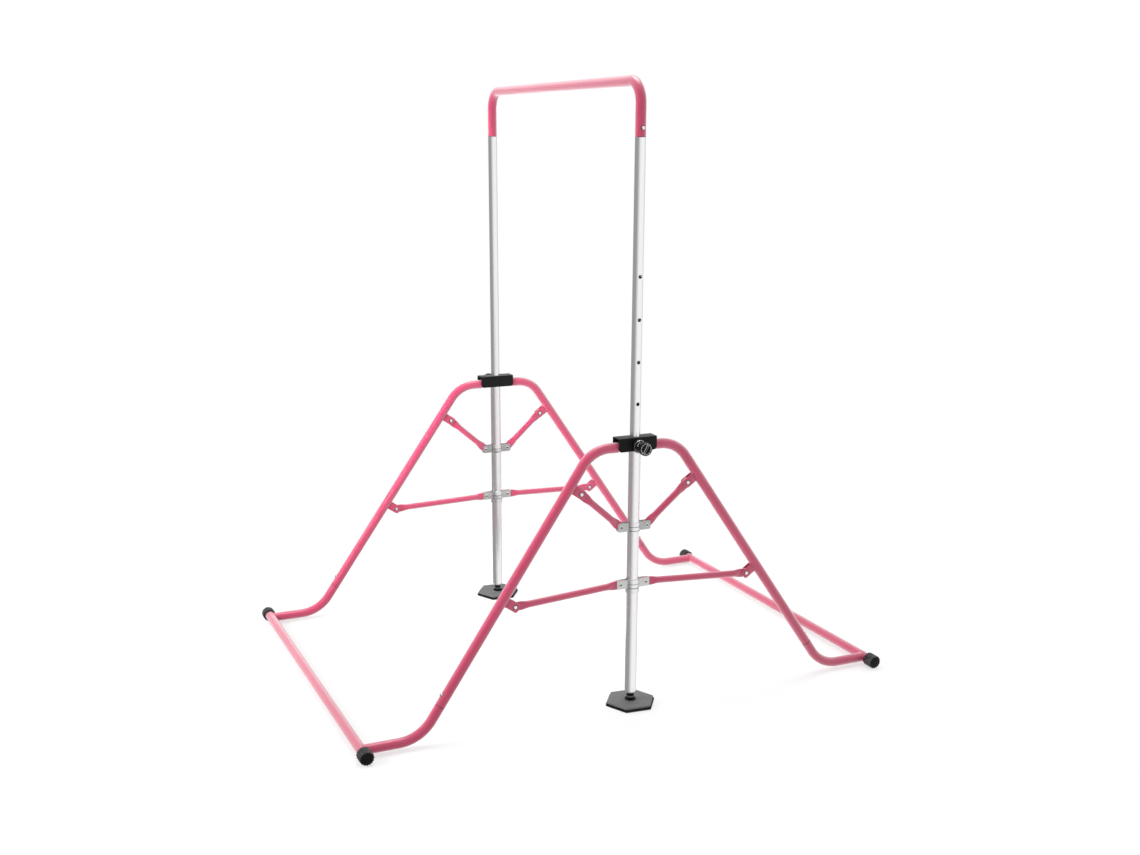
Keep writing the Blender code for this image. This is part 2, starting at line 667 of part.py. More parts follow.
def make_rivet(place, half):
    """A pin across X with a domed head on each plate."""
    head = head_profile(half)
    foot = [(radius, -along) for radius, along in reversed(head)]
    return turned(head + [(PIN_R, head[-1][1]), (PIN_R, foot[0][1])] + foot, place, (1, 0, 0), HEAD_SEGMENTS)


def make_head(place, outward, half):
    """A screw head on one ear."""
    head = head_profile(half)
    return turned(head + [(0, head[-1][1])], place, (outward, 0, 0), HEAD_SEGMENTS)


def make_link(name, inner_end, outer_end, axis):
    """A round tube pressed flat at both ends, with a pin hole in each. Its flats stay square to the pins."""
    across = Vector((1, 0, 0))
    offset = outer_end.x - inner_end.x
    level = outer_end - inner_end - across * offset
    length = level.length
    along = level.normalized()
    side = along.cross(across)
    near = [(-LINK_END_WIDTH, 0.35, 1.0), (-LINK_END_WIDTH * 0.75, 0.78, 1.0), (-LINK_END_WIDTH * 0.25, 1.0, 1.0),
            (LINK_FLAT, 1.0, 1.0), (LINK_TAPER * 0.75, 1.0, 0.4), (LINK_TAPER, 1.0, 0.0)]
    stations = near + [(length - at, width, flat) for at, width, flat in reversed(near)]
    shape = bmesh.new()
    rings = []
    for at, width, flat in stations:
        slant = (at - LINK_FLAT) / (length - 2 * LINK_FLAT)
        centre = inner_end + along * at + across * (offset * min(max(slant, 0.0), 1.0))
        wide = (LINK_R + (LINK_END_WIDTH - LINK_R) * flat) * width
        thick = LINK_R + (LINK_END_THICK - LINK_R) * flat
        squareness = 1.0 - 0.65 * flat
        ring = []
        for index in range(LINK_SECTORS):
            angle = 2 * math.pi * (index + 0.5) / LINK_SECTORS
            sine, cosine = math.sin(angle), math.cos(angle)
            thin = math.copysign(abs(cosine) ** squareness, cosine)
            ring.append(shape.verts.new(centre + across * (thin * thick) + side * (sine * wide)))
        rings.append(ring)
    for first, second in zip(rings, rings[1:]):
        for index in range(LINK_SECTORS):
            after = (index + 1) % LINK_SECTORS
            shape.faces.new((first[index], first[after], second[after], second[index]))
    shape.faces.new(rings[0])
    shape.faces.new(rings[-1])
    bmesh.ops.recalc_face_normals(shape, faces=shape.faces)
    mesh = bpy.data.meshes.new("link")
    shape.to_mesh(mesh)
    shape.free()
    reach = Vector((0.02, 0, 0))
    holes = [cylinder(point - reach, point + reach, PIN_HOLE_R) for point in (inner_end, outer_end)]
    keep(name, combine(mesh, holes), (PINK, 0.34, 0.0), axis)


def make_upper_collar(name, place, axis):
    """A clamp on the tube itself, with a spacer between its plates inside each link's end."""
    ear = CLAMP_GAP + UPPER_WALL
    fittings = []
    for end in ENDS.values():
        at = place + Vector((0, end * PIVOT_Y, 0))
        spacer = place + Vector((0, end * SPACER_Y, 0))
        reach = Vector((ear - UPPER_WALL / 4, 0, 0))
        fittings.append(cylinder(spacer - reach, spacer + reach, SPACER_R, 6, 0.2))
        fittings += [make_head(at, 1, ear), make_head(at, -1, ear)]
    keep_clamp(name, place, axis, fittings, (UPPER_RING_R, UPPER_WALL, UPPER_CORNER))


def make_lower_collar(name, place, axis):
    """A clamp round a sleeve that has a wider skirt below it."""
    half_height = CLAMP_HEIGHT / 2
    top = half_height + SLEEVE_LIP
    step = -half_height - GAP
    bottom = -half_height - SKIRT
    ring = [(SLEEVE_IN_R, top), (SLEEVE_OUT_R, top), (SLEEVE_OUT_R, step), (SKIRT_R, step), (SKIRT_R, bottom),
            (SLEEVE_IN_R, bottom), (SLEEVE_IN_R, top)]
    keep(f"{name}_collar_sleeve", turned(ring, place, (0, 0, 1), 16), (SILVER, 0.35, 0.9), axis)
    rivets = [make_rivet(place + Vector((0, end * PIVOT_Y, 0)), CLAMP_GAP + LOWER_WALL) for end in ENDS.values()]
    keep_clamp(name, place, axis, rivets, (LOWER_RING_R, LOWER_WALL, LOWER_CORNER))


def keep_clamp(name, place, axis, fittings, form):
    """Unite two clamp plates with what joins them. The form is ring radius, wall and corner."""
    clamp = combine(make_clamp_plate(place, 1, *form), fittings[:1], "UNION")
    clamp = combine(clamp, [make_clamp_plate(place, -1, *form)] + fittings[1:], "UNION")
    keep(f"{name}_collar_clamp", clamp, (SILVER, 0.4, 0.8), axis)


def make_clamp_plate(place, face, bend, wall, corner):
    """Half a clamp: a flat ear, a half ring round the tube or sleeve, and a flat ear."""
    half_height = CLAMP_HEIGHT / 2
    edge = math.asin(CLAMP_GAP / bend)
    outline = [(-CLAMP_EAR_Y, CLAMP_GAP)]
    for step in range(RING_STEPS + 1):
        angle = math.pi - edge - (math.pi - 2 * edge) * step / RING_STEPS
        outline.append((bend * math.cos(angle), bend * math.sin(angle)))
    outline.append((CLAMP_EAR_Y, CLAMP_GAP))
    shape = bmesh.new()
    low = [shape.verts.new((face * x, y, -half_height)) for y, x in outline]
    high = [shape.verts.new((face * x, y, half_height)) for y, x in outline]
    for index in range(len(outline) - 1):
        shape.faces.new((low[index], low[index + 1], high[index + 1], high[index]))
    bmesh.ops.recalc_face_normals(shape, faces=shape.faces)
    outward = Vector((face, 0, 0))
    middle = max(shape.faces, key=lambda item: abs(item.calc_center_median().x))
    if middle.normal.dot(outward) < 0:
        bmesh.ops.reverse_faces(shape, faces=shape.faces)
    corners = [vert for vert in shape.verts if abs(vert.co.y) > CLAMP_EAR_Y - 0.001]
    bmesh.ops.bevel(shape, geom=corners, offset=corner, segments=3, affect="VERTICES", profile=0.5)
    mesh = bpy.data.meshes.new("clamp")
    shape.to_mesh(mesh)
    shape.free()
    skin = temporary(mesh)
    shell = skin.modifiers.new("wall", "SOLIDIFY")
    shell.thickness = wall
    shell.offset = 1
    shell.use_even_offset = True
    plate = as_mesh(skin)
    plate.transform(Matrix.Translation(place))
    return plate


def build():
    make_uprights()
    make_feet()
    make_bar(add_axis("bar_axis", (0, 0, BAR_HEIGHT)))
    bracket_axis = add_axis("bracket_axis", (0, 0, BRACKET_TOP))
    make_brackets(bracket_axis)
    upper = add_axis("upper_collar_axis", (0, 0, UPPER_COLLAR_Z))
    lower = add_axis("lower_collar_axis", (0, 0, LOWER_COLLAR_Z))
    for name, side in SIDES.items():
        x = side * UPRIGHT_X
        make_upper_collar(f"{name}_upper", Vector((x, 0, UPPER_COLLAR_Z)), upper)
        make_lower_collar(f"{name}_lower", Vector((x, 0, LOWER_COLLAR_Z)), lower)
    for end_name, end in ENDS.items():
        lower_axis = add_axis(f"{end_name}_lower_link_axis", (0, end * PIVOT_Y, LOWER_COLLAR_Z))
        leg_axis = add_axis(f"{end_name}_leg_axis", (0, end * LOWER_PIN[0], LOWER_PIN[1]))
        upper_axis = add_axis(f"{end_name}_upper_link_axis", (0, end * UPPER_PIN[0], UPPER_PIN[1]))
        make_leg_frame(end_name, end, leg_axis)
        for name, side in SIDES.items():
            x = side * UPRIGHT_X
            make_link(f"{end_name}_{name}_lower_link", Vector((x, end * PIVOT_Y, LOWER_COLLAR_Z)),
                      link_pin(side, end, LOWER_PIN), lower_axis)
            make_link(f"{end_name}_{name}_upper_link", Vector((x, end * PIVOT_Y, UPPER_COLLAR_Z)),
                      link_pin(side, end, UPPER_PIN), upper_axis)


clear_scene()
PARTS = make_collection("folding_gymnastics_bar")
CUTTERS = make_collection("cutters")
build()
bpy.context.view_layer.update()
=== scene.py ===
import math
from itertools import product

import bmesh
import bpy
from mathutils import Matrix, Vector


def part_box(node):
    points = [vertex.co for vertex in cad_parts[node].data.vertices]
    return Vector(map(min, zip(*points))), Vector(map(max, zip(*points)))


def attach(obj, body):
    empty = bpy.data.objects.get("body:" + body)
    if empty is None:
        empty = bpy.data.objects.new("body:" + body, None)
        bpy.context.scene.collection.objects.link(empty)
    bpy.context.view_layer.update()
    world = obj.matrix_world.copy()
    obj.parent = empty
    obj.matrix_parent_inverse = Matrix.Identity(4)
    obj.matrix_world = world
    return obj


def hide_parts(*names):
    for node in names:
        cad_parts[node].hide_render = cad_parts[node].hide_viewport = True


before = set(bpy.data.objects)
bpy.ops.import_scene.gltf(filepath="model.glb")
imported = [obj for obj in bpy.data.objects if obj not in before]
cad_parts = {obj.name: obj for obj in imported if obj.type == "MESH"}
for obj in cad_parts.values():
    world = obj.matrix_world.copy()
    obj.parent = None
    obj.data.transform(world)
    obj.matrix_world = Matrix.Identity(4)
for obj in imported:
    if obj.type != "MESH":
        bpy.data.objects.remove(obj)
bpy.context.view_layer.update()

# Bar, inner tubes and outer tubes
BAR_HEIGHT = 1.510
UPRIGHT_X = 0.460
BAR_R = 0.0126
BAR_WALL = 0.0012
BAR_BEND = 0.050
BAR_END_Z = 1.388
BAR_BUTTON_Z = 1.407
INNER_R = 0.0125
INNER_WALL = 0.0012
PLUG_IN_R = 0.0111  # the inner tube's reduced end, inside the bar
OUTER_R = 0.0145
OUTER_WALL = 0.0015
LOCK_Z = 0.676
HOLE_PITCH = 0.100
HOLE_COUNT = 5
HOLE_R = 0.0045
BUTTON_HOLE_R = 0.0054
HOLE_REACH = 0.008  # a tube has a ring of points this far from each hole's middle, on both sides
BUTTON_R = 0.0043
BUTTON_STANDS_OUT = 0.0038
BUTTON_DOME = 0.0032  # how deep the domed part of a button is
TUBE_LIP = 0.0007  # how far the ends of the larger tubes are rounded

# Legs, elbows and cross tubes
LEG_R = 0.0125
LEG_WALL = 0.0013
LEG_ANGLE = math.radians(34.7)
LEG_SPLAY = 0.032  # how far a leg runs outwards for each metre that it drops
LEG_BEND = 0.085
ELBOW_BEND = 0.100
LEG_TOP_Z = 0.672
LEG_CORNER_Y = 0.1145
LEG_INNER_Y = 0.0460
LEG_PIVOT_Y = 0.0400
LEG_PIN_R = 0.0030
LUG_HALF = 0.0050  # half the height of the lug on a leg's pin, and half its width
LUG_HALF_WIDTH = 0.0060
LUG_FLAT = 0.0070
LUG_PLUG_R = 0.0118
LUG_PLUG = (0.0064, 0.0100)
SEAM_Z = 0.092
BUTTON_ABOVE_SEAM = 0.026
SEAM_GAP = 0.0005  # half the gap between a leg and its elbow
SPIGOT_R = 0.0109
SPIGOT_WALL = 0.0012
SPIGOT_LENGTH = 0.055
# The dark ring at a tube's seam is painted shade in the gap
SEAM_SHADE_RING = (0.0008, 0.0112, 0.0121)  # half its height, and its inner and outer radius
WELD_RIPPLE = 0.22
CLEVIS_BEAD = 0.0011
ELBOW_BEAD = 0.0013
SADDLE_R = LEG_R + 0.0001  # the cross tube's cut in an elbow
CROSS_Y = 0.711
CROSS_Z = 0.018
CROSS_END_X = 0.531
CAP_LENGTH = 0.032
CAP_R = 0.0167
CAP_RIB = 0.0013
CAP_RIBS = 16
CAP_BORE = 0.0131

# Brackets
BRACKET_HALF = (0.0175, 0.0510)
BRACKET_Z = (0.6630, 0.6962)
BRACKET_WALL = 0.0020
BRACKET_BEND = 0.0028
BRACKET_CORNER = 0.0080
BRACKET_BORE = 0.0131
KNOB_HOLE_R = 0.0073

# Links, clevises and collars
PIVOT_Y = 0.035
UPPER_PIN = (0.145, 0.568)
LOWER_PIN = (0.321, 0.311)
UPPER_COLLAR_Z = 0.471
LOWER_COLLAR_Z = 0.3235
LINK_R = 0.0085
LINK_END_WIDTH = 0.0110
LINK_END_THICK = 0.0041
LINK_FLAT = 0.0150
LINK_TAPER = 0.038
CLEVIS_HALF = 0.0066
CLEVIS_WALL = 0.0018
CLEVIS_HALF_HEIGHT = 0.0115
CLEVIS_CORNER = 0.0065
CLEVIS_BEND = 0.0022
CLEVIS_SINK = 0.0012  # how far its back stands into the leg
LINK_HOLE_R = 0.0033
CLAMP_GAP = 0.0044
CLAMP_EAR_Y = 0.0450
CLAMP_HEIGHT = 0.0225
UPPER_CLAMP = (0.0150, 0.0013, 0.0050)  # ring radius, wall and corner
LOWER_CLAMP = (0.0160, 0.0011, 0.0012)
SLEEVE_IN_R = 0.0149
SLEEVE_OUT_R = 0.0155
SLEEVE_LIP = 0.0015
SKIRT_R = 0.0169
SKIRT = 0.0125

# Knobs and feet
KNOB_REACH = 0.043
KNOB_RECESS = 0.0014
KNOB_DASHES = 12
DASH_SPAN = math.radians(22)
DASH = (0.0126, 0.0138, 0.0003)  # inner and outer radius, and height
KNOB_BAR_TILT = math.radians(-28)
LUG_TURN = math.radians(142)
LUG_AHEAD = 0.0240  # the square lug's middle, from the bracket's face and from the knob's axis
LUG_OUT = 0.0150
LUG_EDGE = 0.0008
FOOT_R = 0.066
FOOT_CORNER = 0.0050
FOOT_TURN = math.radians(-5)
SOLE_TOP = 0.0060
PAD_TOP = 0.0112
GAP = 0.0003

ROUND = 48  # sides of a tube, of a small turned part and of a fastener
SMALL_ROUND = 32
FASTENER_ROUND = 24
ARC_STEP = math.radians(3.5)
SHARP_ANGLE = 35  # edges sharper than this many degrees stay sharp

LEFT_RIGHT = {"left": -1, "right": 1}
FRONT_REAR = {"front": -1, "rear": 1}

# Camera, as fitted to the photograph's 1140 x 855 frame
CAMERA_PLACE = (3.2124, -1.4310, 1.3859)
CAMERA_AZIMUTH = math.radians(65.380)
CAMERA_ELEVATION = math.radians(16.233)
CAMERA_ROLL = math.radians(0.258)
FOCAL_PIXELS = 1316.0
PHOTO_WIDTH = 1140
RAISED_PIXELS = 93.0  # the frame's middle stands this far above the lens axis
ASIDE_PIXELS = -0.5
SENSOR = 36.0

# Studio: a white softbox stands to the right. A lamp is its name, place, size, watts, aim, spread
# in degrees, and whether gloss shows it
SOFTBOX_AIM = (0.866, 0.5, 0.0)
SOFTBOX_FADE = (-0.15, 0.78)
FRONT_WALL = (0.34, 0.34, 0.34)
REAR_WALL = (0.52, 0.52, 0.52)
AMBIENT_AIM = (-0.9, 0.42, 0.0)
AMBIENT_FRONT = 0.30  # diffuse light against this aim, from the camera's side, and along it
AMBIENT_BACK = 1.10
WHITE = (1.0, 1.0, 1.0)
FLOOR_LIFT = 0.62  # how white the floor is by itself near the object, where it keeps the shadow
FLOOR_FADE = (0.9, 2.6)
FLOOR_RADIUS = 30
MIDDLE = (0.0, 0.0, 0.7)
LAMPS = (("top", (-0.2, 0.2, 3.2), 1.3, 34.0, MIDDLE, 180, True),
         ("key", (3.0, 0.9, 2.2), 2.0, 9.0, MIDDLE, 180, False),
         ("side", (-0.4, -3.0, 1.4), 1.6, 66.0, MIDDLE, 180, False),
         ("rim", (-0.8, 3.2, 2.2), 1.8, 22.0, MIDDLE, 180, False),
         ("far", (1.2, -3.2, 1.8), 1.0, 6.5, (-0.55, 0.0, 0.6), 30, False))


def fill(tree, node, inputs):
    """Give each named or numbered input of a node a fixed value, or a link from a socket."""
    for name, value in inputs.items():
        if isinstance(value, bpy.types.NodeSocket):
            tree.links.new(value, node.inputs[name])
        else:
            node.inputs[name].default_value = value


def make_node(tree, kind, output, inputs):
    """Add a node, fill its inputs and return one of its outputs."""
    node = tree.nodes.new("ShaderNode" + kind)
    fill(tree, node, inputs)
    return node.outputs[output]


def spread(tree, value, low, high, start=0.3, end=0.7):
    """Map a value to a range."""
    return make_node(tree, "MapRange", "Result", {"Value": value, "From Min": start, "From Max": end,
                                                  "To Min": low, "To Max": high})


def blend(tree, factor, *colours):
    """Mix two colours by a factor. The node's inputs 6 and 7 and its output 2 are its colours."""
    node = tree.nodes.new("ShaderNodeMix")
    node.data_type = "RGBA"
    first, second = [(*colour, 1.0) if isinstance(colour, tuple) else colour for colour in colours]
    fill(tree, node, {0: factor, 6: first, 7: second})
    return node.outputs[2]


def vector_math(tree, operation, *values):
    """Vector math on sockets or fixed vectors."""
    node = tree.nodes.new("ShaderNodeVectorMath")
    node.operation = operation
    fill(tree, node, dict(enumerate(values)))
    return node.outputs["Value" if operation in ("LENGTH", "DOT_PRODUCT") else "Vector"]


def mix_shaders(tree, factor, first, second):
    return make_node(tree, "MixShader", 0, {0: factor, 1: first, 2: second})


def new_material(name):
    """A material, its node tree and its shader."""
    made = bpy.data.materials.new(name)
    made.use_nodes = True
    return made, made.node_tree, made.node_tree.nodes["Principled BSDF"]


def drifting(name, colours, cloud, rough, relief, levels, stretch=(1, 1, 1)):
    """A material of two colours that drift into each other, with a drifting roughness and a fine relief.

    cloud, rough and relief start with a noise texture's scale and detail. Then come the roughness's
    range, and the relief's strength and depth.
    """
    made, tree, shader = new_material(name)
    coords = tree.nodes.new("ShaderNodeTexCoord").outputs["Object"]
    mapped = make_node(tree, "Mapping", "Vector", {"Vector": coords, "Scale": stretch})
    noises = [make_node(tree, "TexNoise", "Fac", {"Vector": mapped, "Scale": noise[0], "Detail": noise[1]})
              for noise in (cloud, rough, relief)]
    bump = {"Height": noises[2], "Strength": relief[2], "Distance": relief[3]}
    fill(tree, shader, {"Base Color": blend(tree, spread(tree, noises[0], 0.0, 1.0), *colours),
                        "Roughness": spread(tree, noises[1], *rough[2:]),
                        "Normal": make_node(tree, "Bump", "Normal", bump), **levels})
    return made


def paint(name, colour, darker, roughness, coat, sheen, specular):
    """Powder coat: a fine orange-peel skin, a soft gloss and paler rims."""
    return drifting(name, (colour, darker), (9.0, 4.0), (60.0, 5.0, roughness - 0.04, roughness + 0.05),
                    (700.0, 2.0, 0.06, 0.00012),
                    {"Coat Weight": coat, "Coat Roughness": 0.25, "Sheen Weight": sheen,
                     "Sheen Roughness": 0.50, "Specular IOR Level": specular})


def drawn_metal(name, colour, darker, roughness, stretch, strength=0.03):
    """Plated tube or sheet with fine draw lines along one direction and faint scuffs."""
    return drifting(name, (colour, darker), (14.0, 4.0), (900.0, 3.0, roughness - 0.03, roughness + 0.04),
                    (900.0, 3.0, strength, 0.00003), {"Metallic": 1.0}, stretch)


def moulded(name, colour, paler, roughness, texture_scale, strength, specular=0.25):
    """Moulded plastic or rubber: a fine leathered skin over a nearly even colour."""
    return drifting(name, (colour, paler), (70.0, 5.0), (130.0, 3.0, roughness - 0.05, roughness + 0.06),
                    (texture_scale, 3.0, strength, 0.0002), {"Specular IOR Level": specular})


# Profiles of (radius, distance outwards)
# A dark ring round a rivet's head: painted shadow
RIVET_SHADOW_PROFILE = [(0.0038, 0.0), (0.0061, 0.0), (0.0061, 0.0004), (0.0057, 0.0006), (0.0038, 0.0006)]
# A dark disc in a screw head's recess: painted shade
SOCKET_SHADE_PROFILE = [(0.0, -0.0002), (0.0025, -0.0002), (0.0025, 0.0006), (0.0020, 0.0007), (0.0, 0.0007)]

PINK = paint("pink_paint", (0.505, 0.026, 0.102), (0.480, 0.023, 0.094), 0.32, 0.45, 1.0, 0.4)
SILVER = drawn_metal("silver_tube", (0.90, 0.90, 0.905), (0.87, 0.87, 0.875), 0.24, (1.0, 1.0, 0.02), 0.010)
PLATE = drawn_metal("silver_plate", (0.60, 0.605, 0.60), (0.52, 0.52, 0.52), 0.40, (1.0, 0.06, 1.0), 0.06)
DULL_PLATE = drawn_metal("dull_plate", (0.48, 0.48, 0.475), (0.38, 0.38, 0.38), 0.42, (1.0, 0.3, 1.0), 0.10)
BAND = drawn_metal("silver_band", (0.84, 0.84, 0.845), (0.80, 0.80, 0.805), 0.24, (1.0, 1.0, 0.04), 0.01)
STEEL = drawn_metal("bright_steel", (0.86, 0.85, 0.84), (0.80, 0.80, 0.79), 0.22, (1.0, 1.0, 1.0))
BLACK = paint("black_paint", (0.0060, 0.0060, 0.0063), (0.0045, 0.0045, 0.0048), 0.34, 0.0, 0.12, 0.08)
PLASTIC = moulded("black_plastic", (0.005, 0.005, 0.005), (0.008, 0.008, 0.008), 0.26, 520.0, 0.06, 0.10)
RIBBED = moulded("ribbed_plastic", (0.006, 0.006, 0.006), (0.009, 0.009, 0.009), 0.22, 520.0, 0.05, 1.0)
RUBBER = moulded("black_rubber", (0.0055, 0.0055, 0.0055), (0.0085, 0.0085, 0.0085), 0.55, 420.0, 0.25, 0.12)
GREY = moulded("grey_pad", (0.140, 0.140, 0.142), (0.165, 0.165, 0.166), 0.62, 900.0, 0.25)
# Pale marks: print for the knob's dashes, painted highlight for the edges of its bar and lug
LINE = moulded("pale_line", (0.80, 0.80, 0.80), (0.88, 0.88, 0.88), 0.5, 800.0, 0.1)
# Dark red for the rings at the seams: painted shade in the gaps
SEAM = moulded("seam_shadow", (0.070, 0.006, 0.014), (0.050, 0.005, 0.010), 0.6, 500.0, 0.1)


def placed(name, data):
    """An object in the scene for a mesh, a camera or a lamp."""
    item = bpy.data.objects.new(name, data)
    bpy.context.scene.collection.objects.link(item)
    return item


def add(name, mesh, finish, body, *nodes, smooth=SHARP_ANGLE):
    """Make a piece from a mesh in the frame, let it ride on a body and stand for its nodes."""
    mesh.name = name
    piece = placed(name, mesh)
    mesh.materials.clear()
    mesh.materials.append(finish)
    mesh.shade_smooth()
    mesh.set_sharp_from_angle(angle=math.radians(smooth))
    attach(piece, body)
    if nodes:
        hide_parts(*nodes)
    return piece


def as_mesh(shape):
    """Turn a bmesh into a mesh as it is."""
    mesh = bpy.data.meshes.new("mesh")
    shape.to_mesh(mesh)
    shape.free()
    return mesh


def mesh_of(shape):
    """Turn a bmesh into a mesh with its faces pointing out."""
    bmesh.ops.recalc_face_normals(shape, faces=shape.faces)
    return as_mesh(shape)


def fixed(*meshes):
    """Meshes in one, with the faces pointing out."""
    shape = bmesh.new()
    for mesh in meshes:
        shape.from_mesh(mesh)
    return mesh_of(shape)


def applied(mesh, *steps):
    """Run modifiers on a mesh, each a type with its settings, and return the result."""
    holder = placed("holder", mesh)
    for kind, settings in steps:
        step = holder.modifiers.new(kind, kind)
        for key, value in settings.items():
            setattr(step, key, value)
    bpy.context.view_layer.update()
    result = bpy.data.meshes.new_from_object(holder.evaluated_get(bpy.context.evaluated_depsgraph_get()))
    bpy.data.objects.remove(holder, do_unlink=True)
    return result


def soft_edges(width):
    """A bevel for a plate's sharp edges."""
    return "BEVEL", {"width": width, "segments": 2, "limit_method": "ANGLE", "angle_limit": math.radians(50)}


def thickened(wall, offset):
    return "SOLIDIFY", {"thickness": wall, "offset": offset, "use_even_offset": True}


def box(size, centre=(0, 0, 0)):
    """A bmesh box round a point."""
    shape = bmesh.new()
    bmesh.ops.create_cube(shape, size=1.0)
    place = Matrix.Translation(centre) @ Matrix.Diagonal((*size, 1.0))
    bmesh.ops.transform(shape, matrix=place, verts=shape.verts)
    return shape


def cut(mesh, cutters):
    """Cut meshes away from a mesh."""
    for cutter in cutters:
        tool = placed("tool", cutter)
        mesh = applied(mesh, ("BOOLEAN", {"object": tool, "operation": "DIFFERENCE", "solver": "EXACT"}))
        bpy.data.objects.remove(tool, do_unlink=True)
    return mesh


def rod(start, end, radius, segments=SMALL_ROUND):
    """A capped cylinder between two points."""
    start, end = Vector(start), Vector(end)
    shape = bmesh.new()
    bmesh.ops.create_cone(shape, cap_ends=True, segments=segments, radius1=radius, radius2=radius,
                          depth=(end - start).length)
    aim = (end - start).to_track_quat("Z", "Y").to_matrix().to_4x4()
    bmesh.ops.transform(shape, matrix=Matrix.Translation((start + end) / 2) @ aim, verts=shape.verts)
    return mesh_of(shape)


def circle(count):
    """Cosine and sine at equal steps round a circle."""
    angles = [2 * math.pi * index / count for index in range(count)]
    return [(math.cos(angle), math.sin(angle)) for angle in angles]


def lathe(profile, place, direction, segments=SMALL_ROUND):
    """Turn a profile of (radius, distance along the direction) into a closed solid."""
    turn = Vector(direction).to_track_quat("Z", "Y").to_matrix()
    shape = bmesh.new()
    rings = []
    for radius, along in profile:
        spots = circle(segments) if radius else [(0, 0)]
        rings.append([shape.verts.new(Vector(place) + turn @ Vector((radius * cosine, radius * sine, along)))
                      for cosine, sine in spots])
    for first, second in zip(rings, rings[1:]):
        join_rings(shape, first, second)
    if len(rings[0]) > 1:
        join_rings(shape, rings[-1], rings[0])
    return mesh_of(shape)


def join_rings(shape, first, second):
    """Faces between two rings, either of which may be a single point."""
    count = max(len(first), len(second))
    for index in range(count):
        after = (index + 1) % count
        corners = [first[index % len(first)], first[after % len(first)], second[after % len(second)],
                   second[index % len(second)]]
        unique = list(dict.fromkeys(corners))
        if len(unique) > 2:
            shape.faces.new(unique)


def capped_rings(shape, rings):
    """Faces between rings in order, and one face over each end."""
    for first, second in zip(rings, rings[1:]):
        join_rings(shape, first, second)
    shape.faces.new(rings[0])
    shape.faces.new(rings[-1])


def filleted(corners, radius):
    """Points along straight runs whose inner corners are rounded by arcs."""
    corners = [Vector(corner) for corner in corners]
    points = [corners[0]]
    for before, corner, after in zip(corners, corners[1:], corners[2:]):
        into = (corner - before).normalized()
        out = (after - corner).normalized()
        turn = into.angle(out)
        begin = corner - into * (radius * math.tan(turn / 2))
        side = (out - into * math.cos(turn)).normalized()
        count = math.ceil(turn / ARC_STEP)
        for index in range(count + 1):
            angle = turn * index / count
            points.append(begin + into * (radius * math.sin(angle)) + side * (radius * (1 - math.cos(angle))))
    points.append(corners[-1])
    return points


def with_stops(points, stops):
    """Add points before and after each stop, so that a hole there touches a short stretch of the tube."""
    points = [Vector(point) for point in points]
    made = [points[0]]
    for first, second in zip(points, points[1:]):
        run = second - first
        length = run.length
        inner = []
        for stop in stops:
            for shift in (-HOLE_REACH, HOLE_REACH):
                along = (Vector(stop) - first).dot(run) / length + shift
                off = (first + run * (along / length) - Vector(stop)).length
                if 0.0005 < along < length - 0.0005 and off < HOLE_REACH * 1.2:
                    inner.append(along)
        made += [first + run * (along / length) for along in sorted(inner)] + [second]
    return made


def pipe(points, radius, wall, lip=0.00035):
    """A hollow tube along points with softened ends."""
    points = [Vector(point) for point in points]
    ends = [points[0], *points, points[-1]]
    tangents = [(after - before).normalized() for before, after in zip(ends, ends[2:])]
    start, end = tangents[0], tangents[-1]
    outer = [(points[0], start, radius - lip), (points[0] + start * lip, start, radius)]
    outer += [(point, tangent, radius) for point, tangent in zip(points[1:-1], tangents[1:-1])]
    outer += [(points[-1] - end * lip, end, radius), (points[-1], end, radius - lip)]
    inner = [(place, tangent, size - wall + (0 if size == radius else 2 * lip)) for place, tangent, size in
             reversed(outer)]
    return loft(outer + inner, ROUND)


def loft(stations, sides):
    """Rings of (place, tangent, radius), joined in order and closed. They follow the path without twist."""
    shape = bmesh.new()
    normal = stations[0][1].orthogonal().normalized()
    rings = []
    for place, tangent, radius in stations:
        normal = (normal - tangent * normal.dot(tangent)).normalized()
        other = tangent.cross(normal)
        rings.append([shape.verts.new(place + (normal * cosine + other * sine) * radius)
                      for cosine, sine in circle(sides)])
    for first, second in zip(rings, rings[1:]):
        join_rings(shape, first, second)
    join_rings(shape, rings[-1], rings[0])
    return mesh_of(shape)


def bead(points, radius):
    """A weld bead: a thin closed run along points whose thickness ripples."""
    points = [Vector(point) for point in points]
    stations = []
    for index, point in enumerate(points):
        before, after = points[index - 1], points[(index + 1) % len(points)]
        swell = 1.0 + WELD_RIPPLE * math.sin(index * 2.1)
        stations.append((point, (after - before).normalized(), radius * swell))
    return loft(stations, 10)


def folded(low, high, is_open, wall, is_bend, bend, is_corner, corner, rim):
    """Bend a plate round a box: some faces stay open, some edges are bent and some corners rounded."""
    low, high = Vector(low), Vector(high)
    shape = box(high - low, (low + high) / 2)
    gone = [face for face in shape.faces if is_open(face.normal)]
    bmesh.ops.delete(shape, geom=gone, context="FACES_ONLY")
    bmesh.ops.delete(shape, geom=[edge for edge in shape.edges if not edge.link_faces], context="EDGES")
    corners = [vert for vert in shape.verts if is_corner(vert.co)]
    bmesh.ops.bevel(shape, geom=corners, offset=corner, segments=12, affect="VERTICES", profile=0.5)
    edges = [edge for edge in shape.edges if len(edge.link_faces) == 2 and is_bend(edge)]
    bmesh.ops.bevel(shape, geom=edges, offset=bend, segments=8, affect="EDGES", profile=0.5)
    return applied(as_mesh(shape), thickened(wall, -1.0), soft_edges(rim))


def side_hole(side, height, radius):
    """A cutter through the outer wall of one upright's tubes."""
    return rod((side * (UPRIGHT_X + 0.005), 0, height), (side * (UPRIGHT_X + 0.02), 0, height), radius)


def leg_x(side, height):
    return side * (UPRIGHT_X + LEG_SPLAY * (LEG_TOP_Z - height))


def leg_direction(side, end):
    return Vector((side * LEG_SPLAY, end * math.tan(LEG_ANGLE), -1)).normalized()


def leg_normal(end):
    return Vector((0, end * math.cos(LEG_ANGLE), math.sin(LEG_ANGLE)))


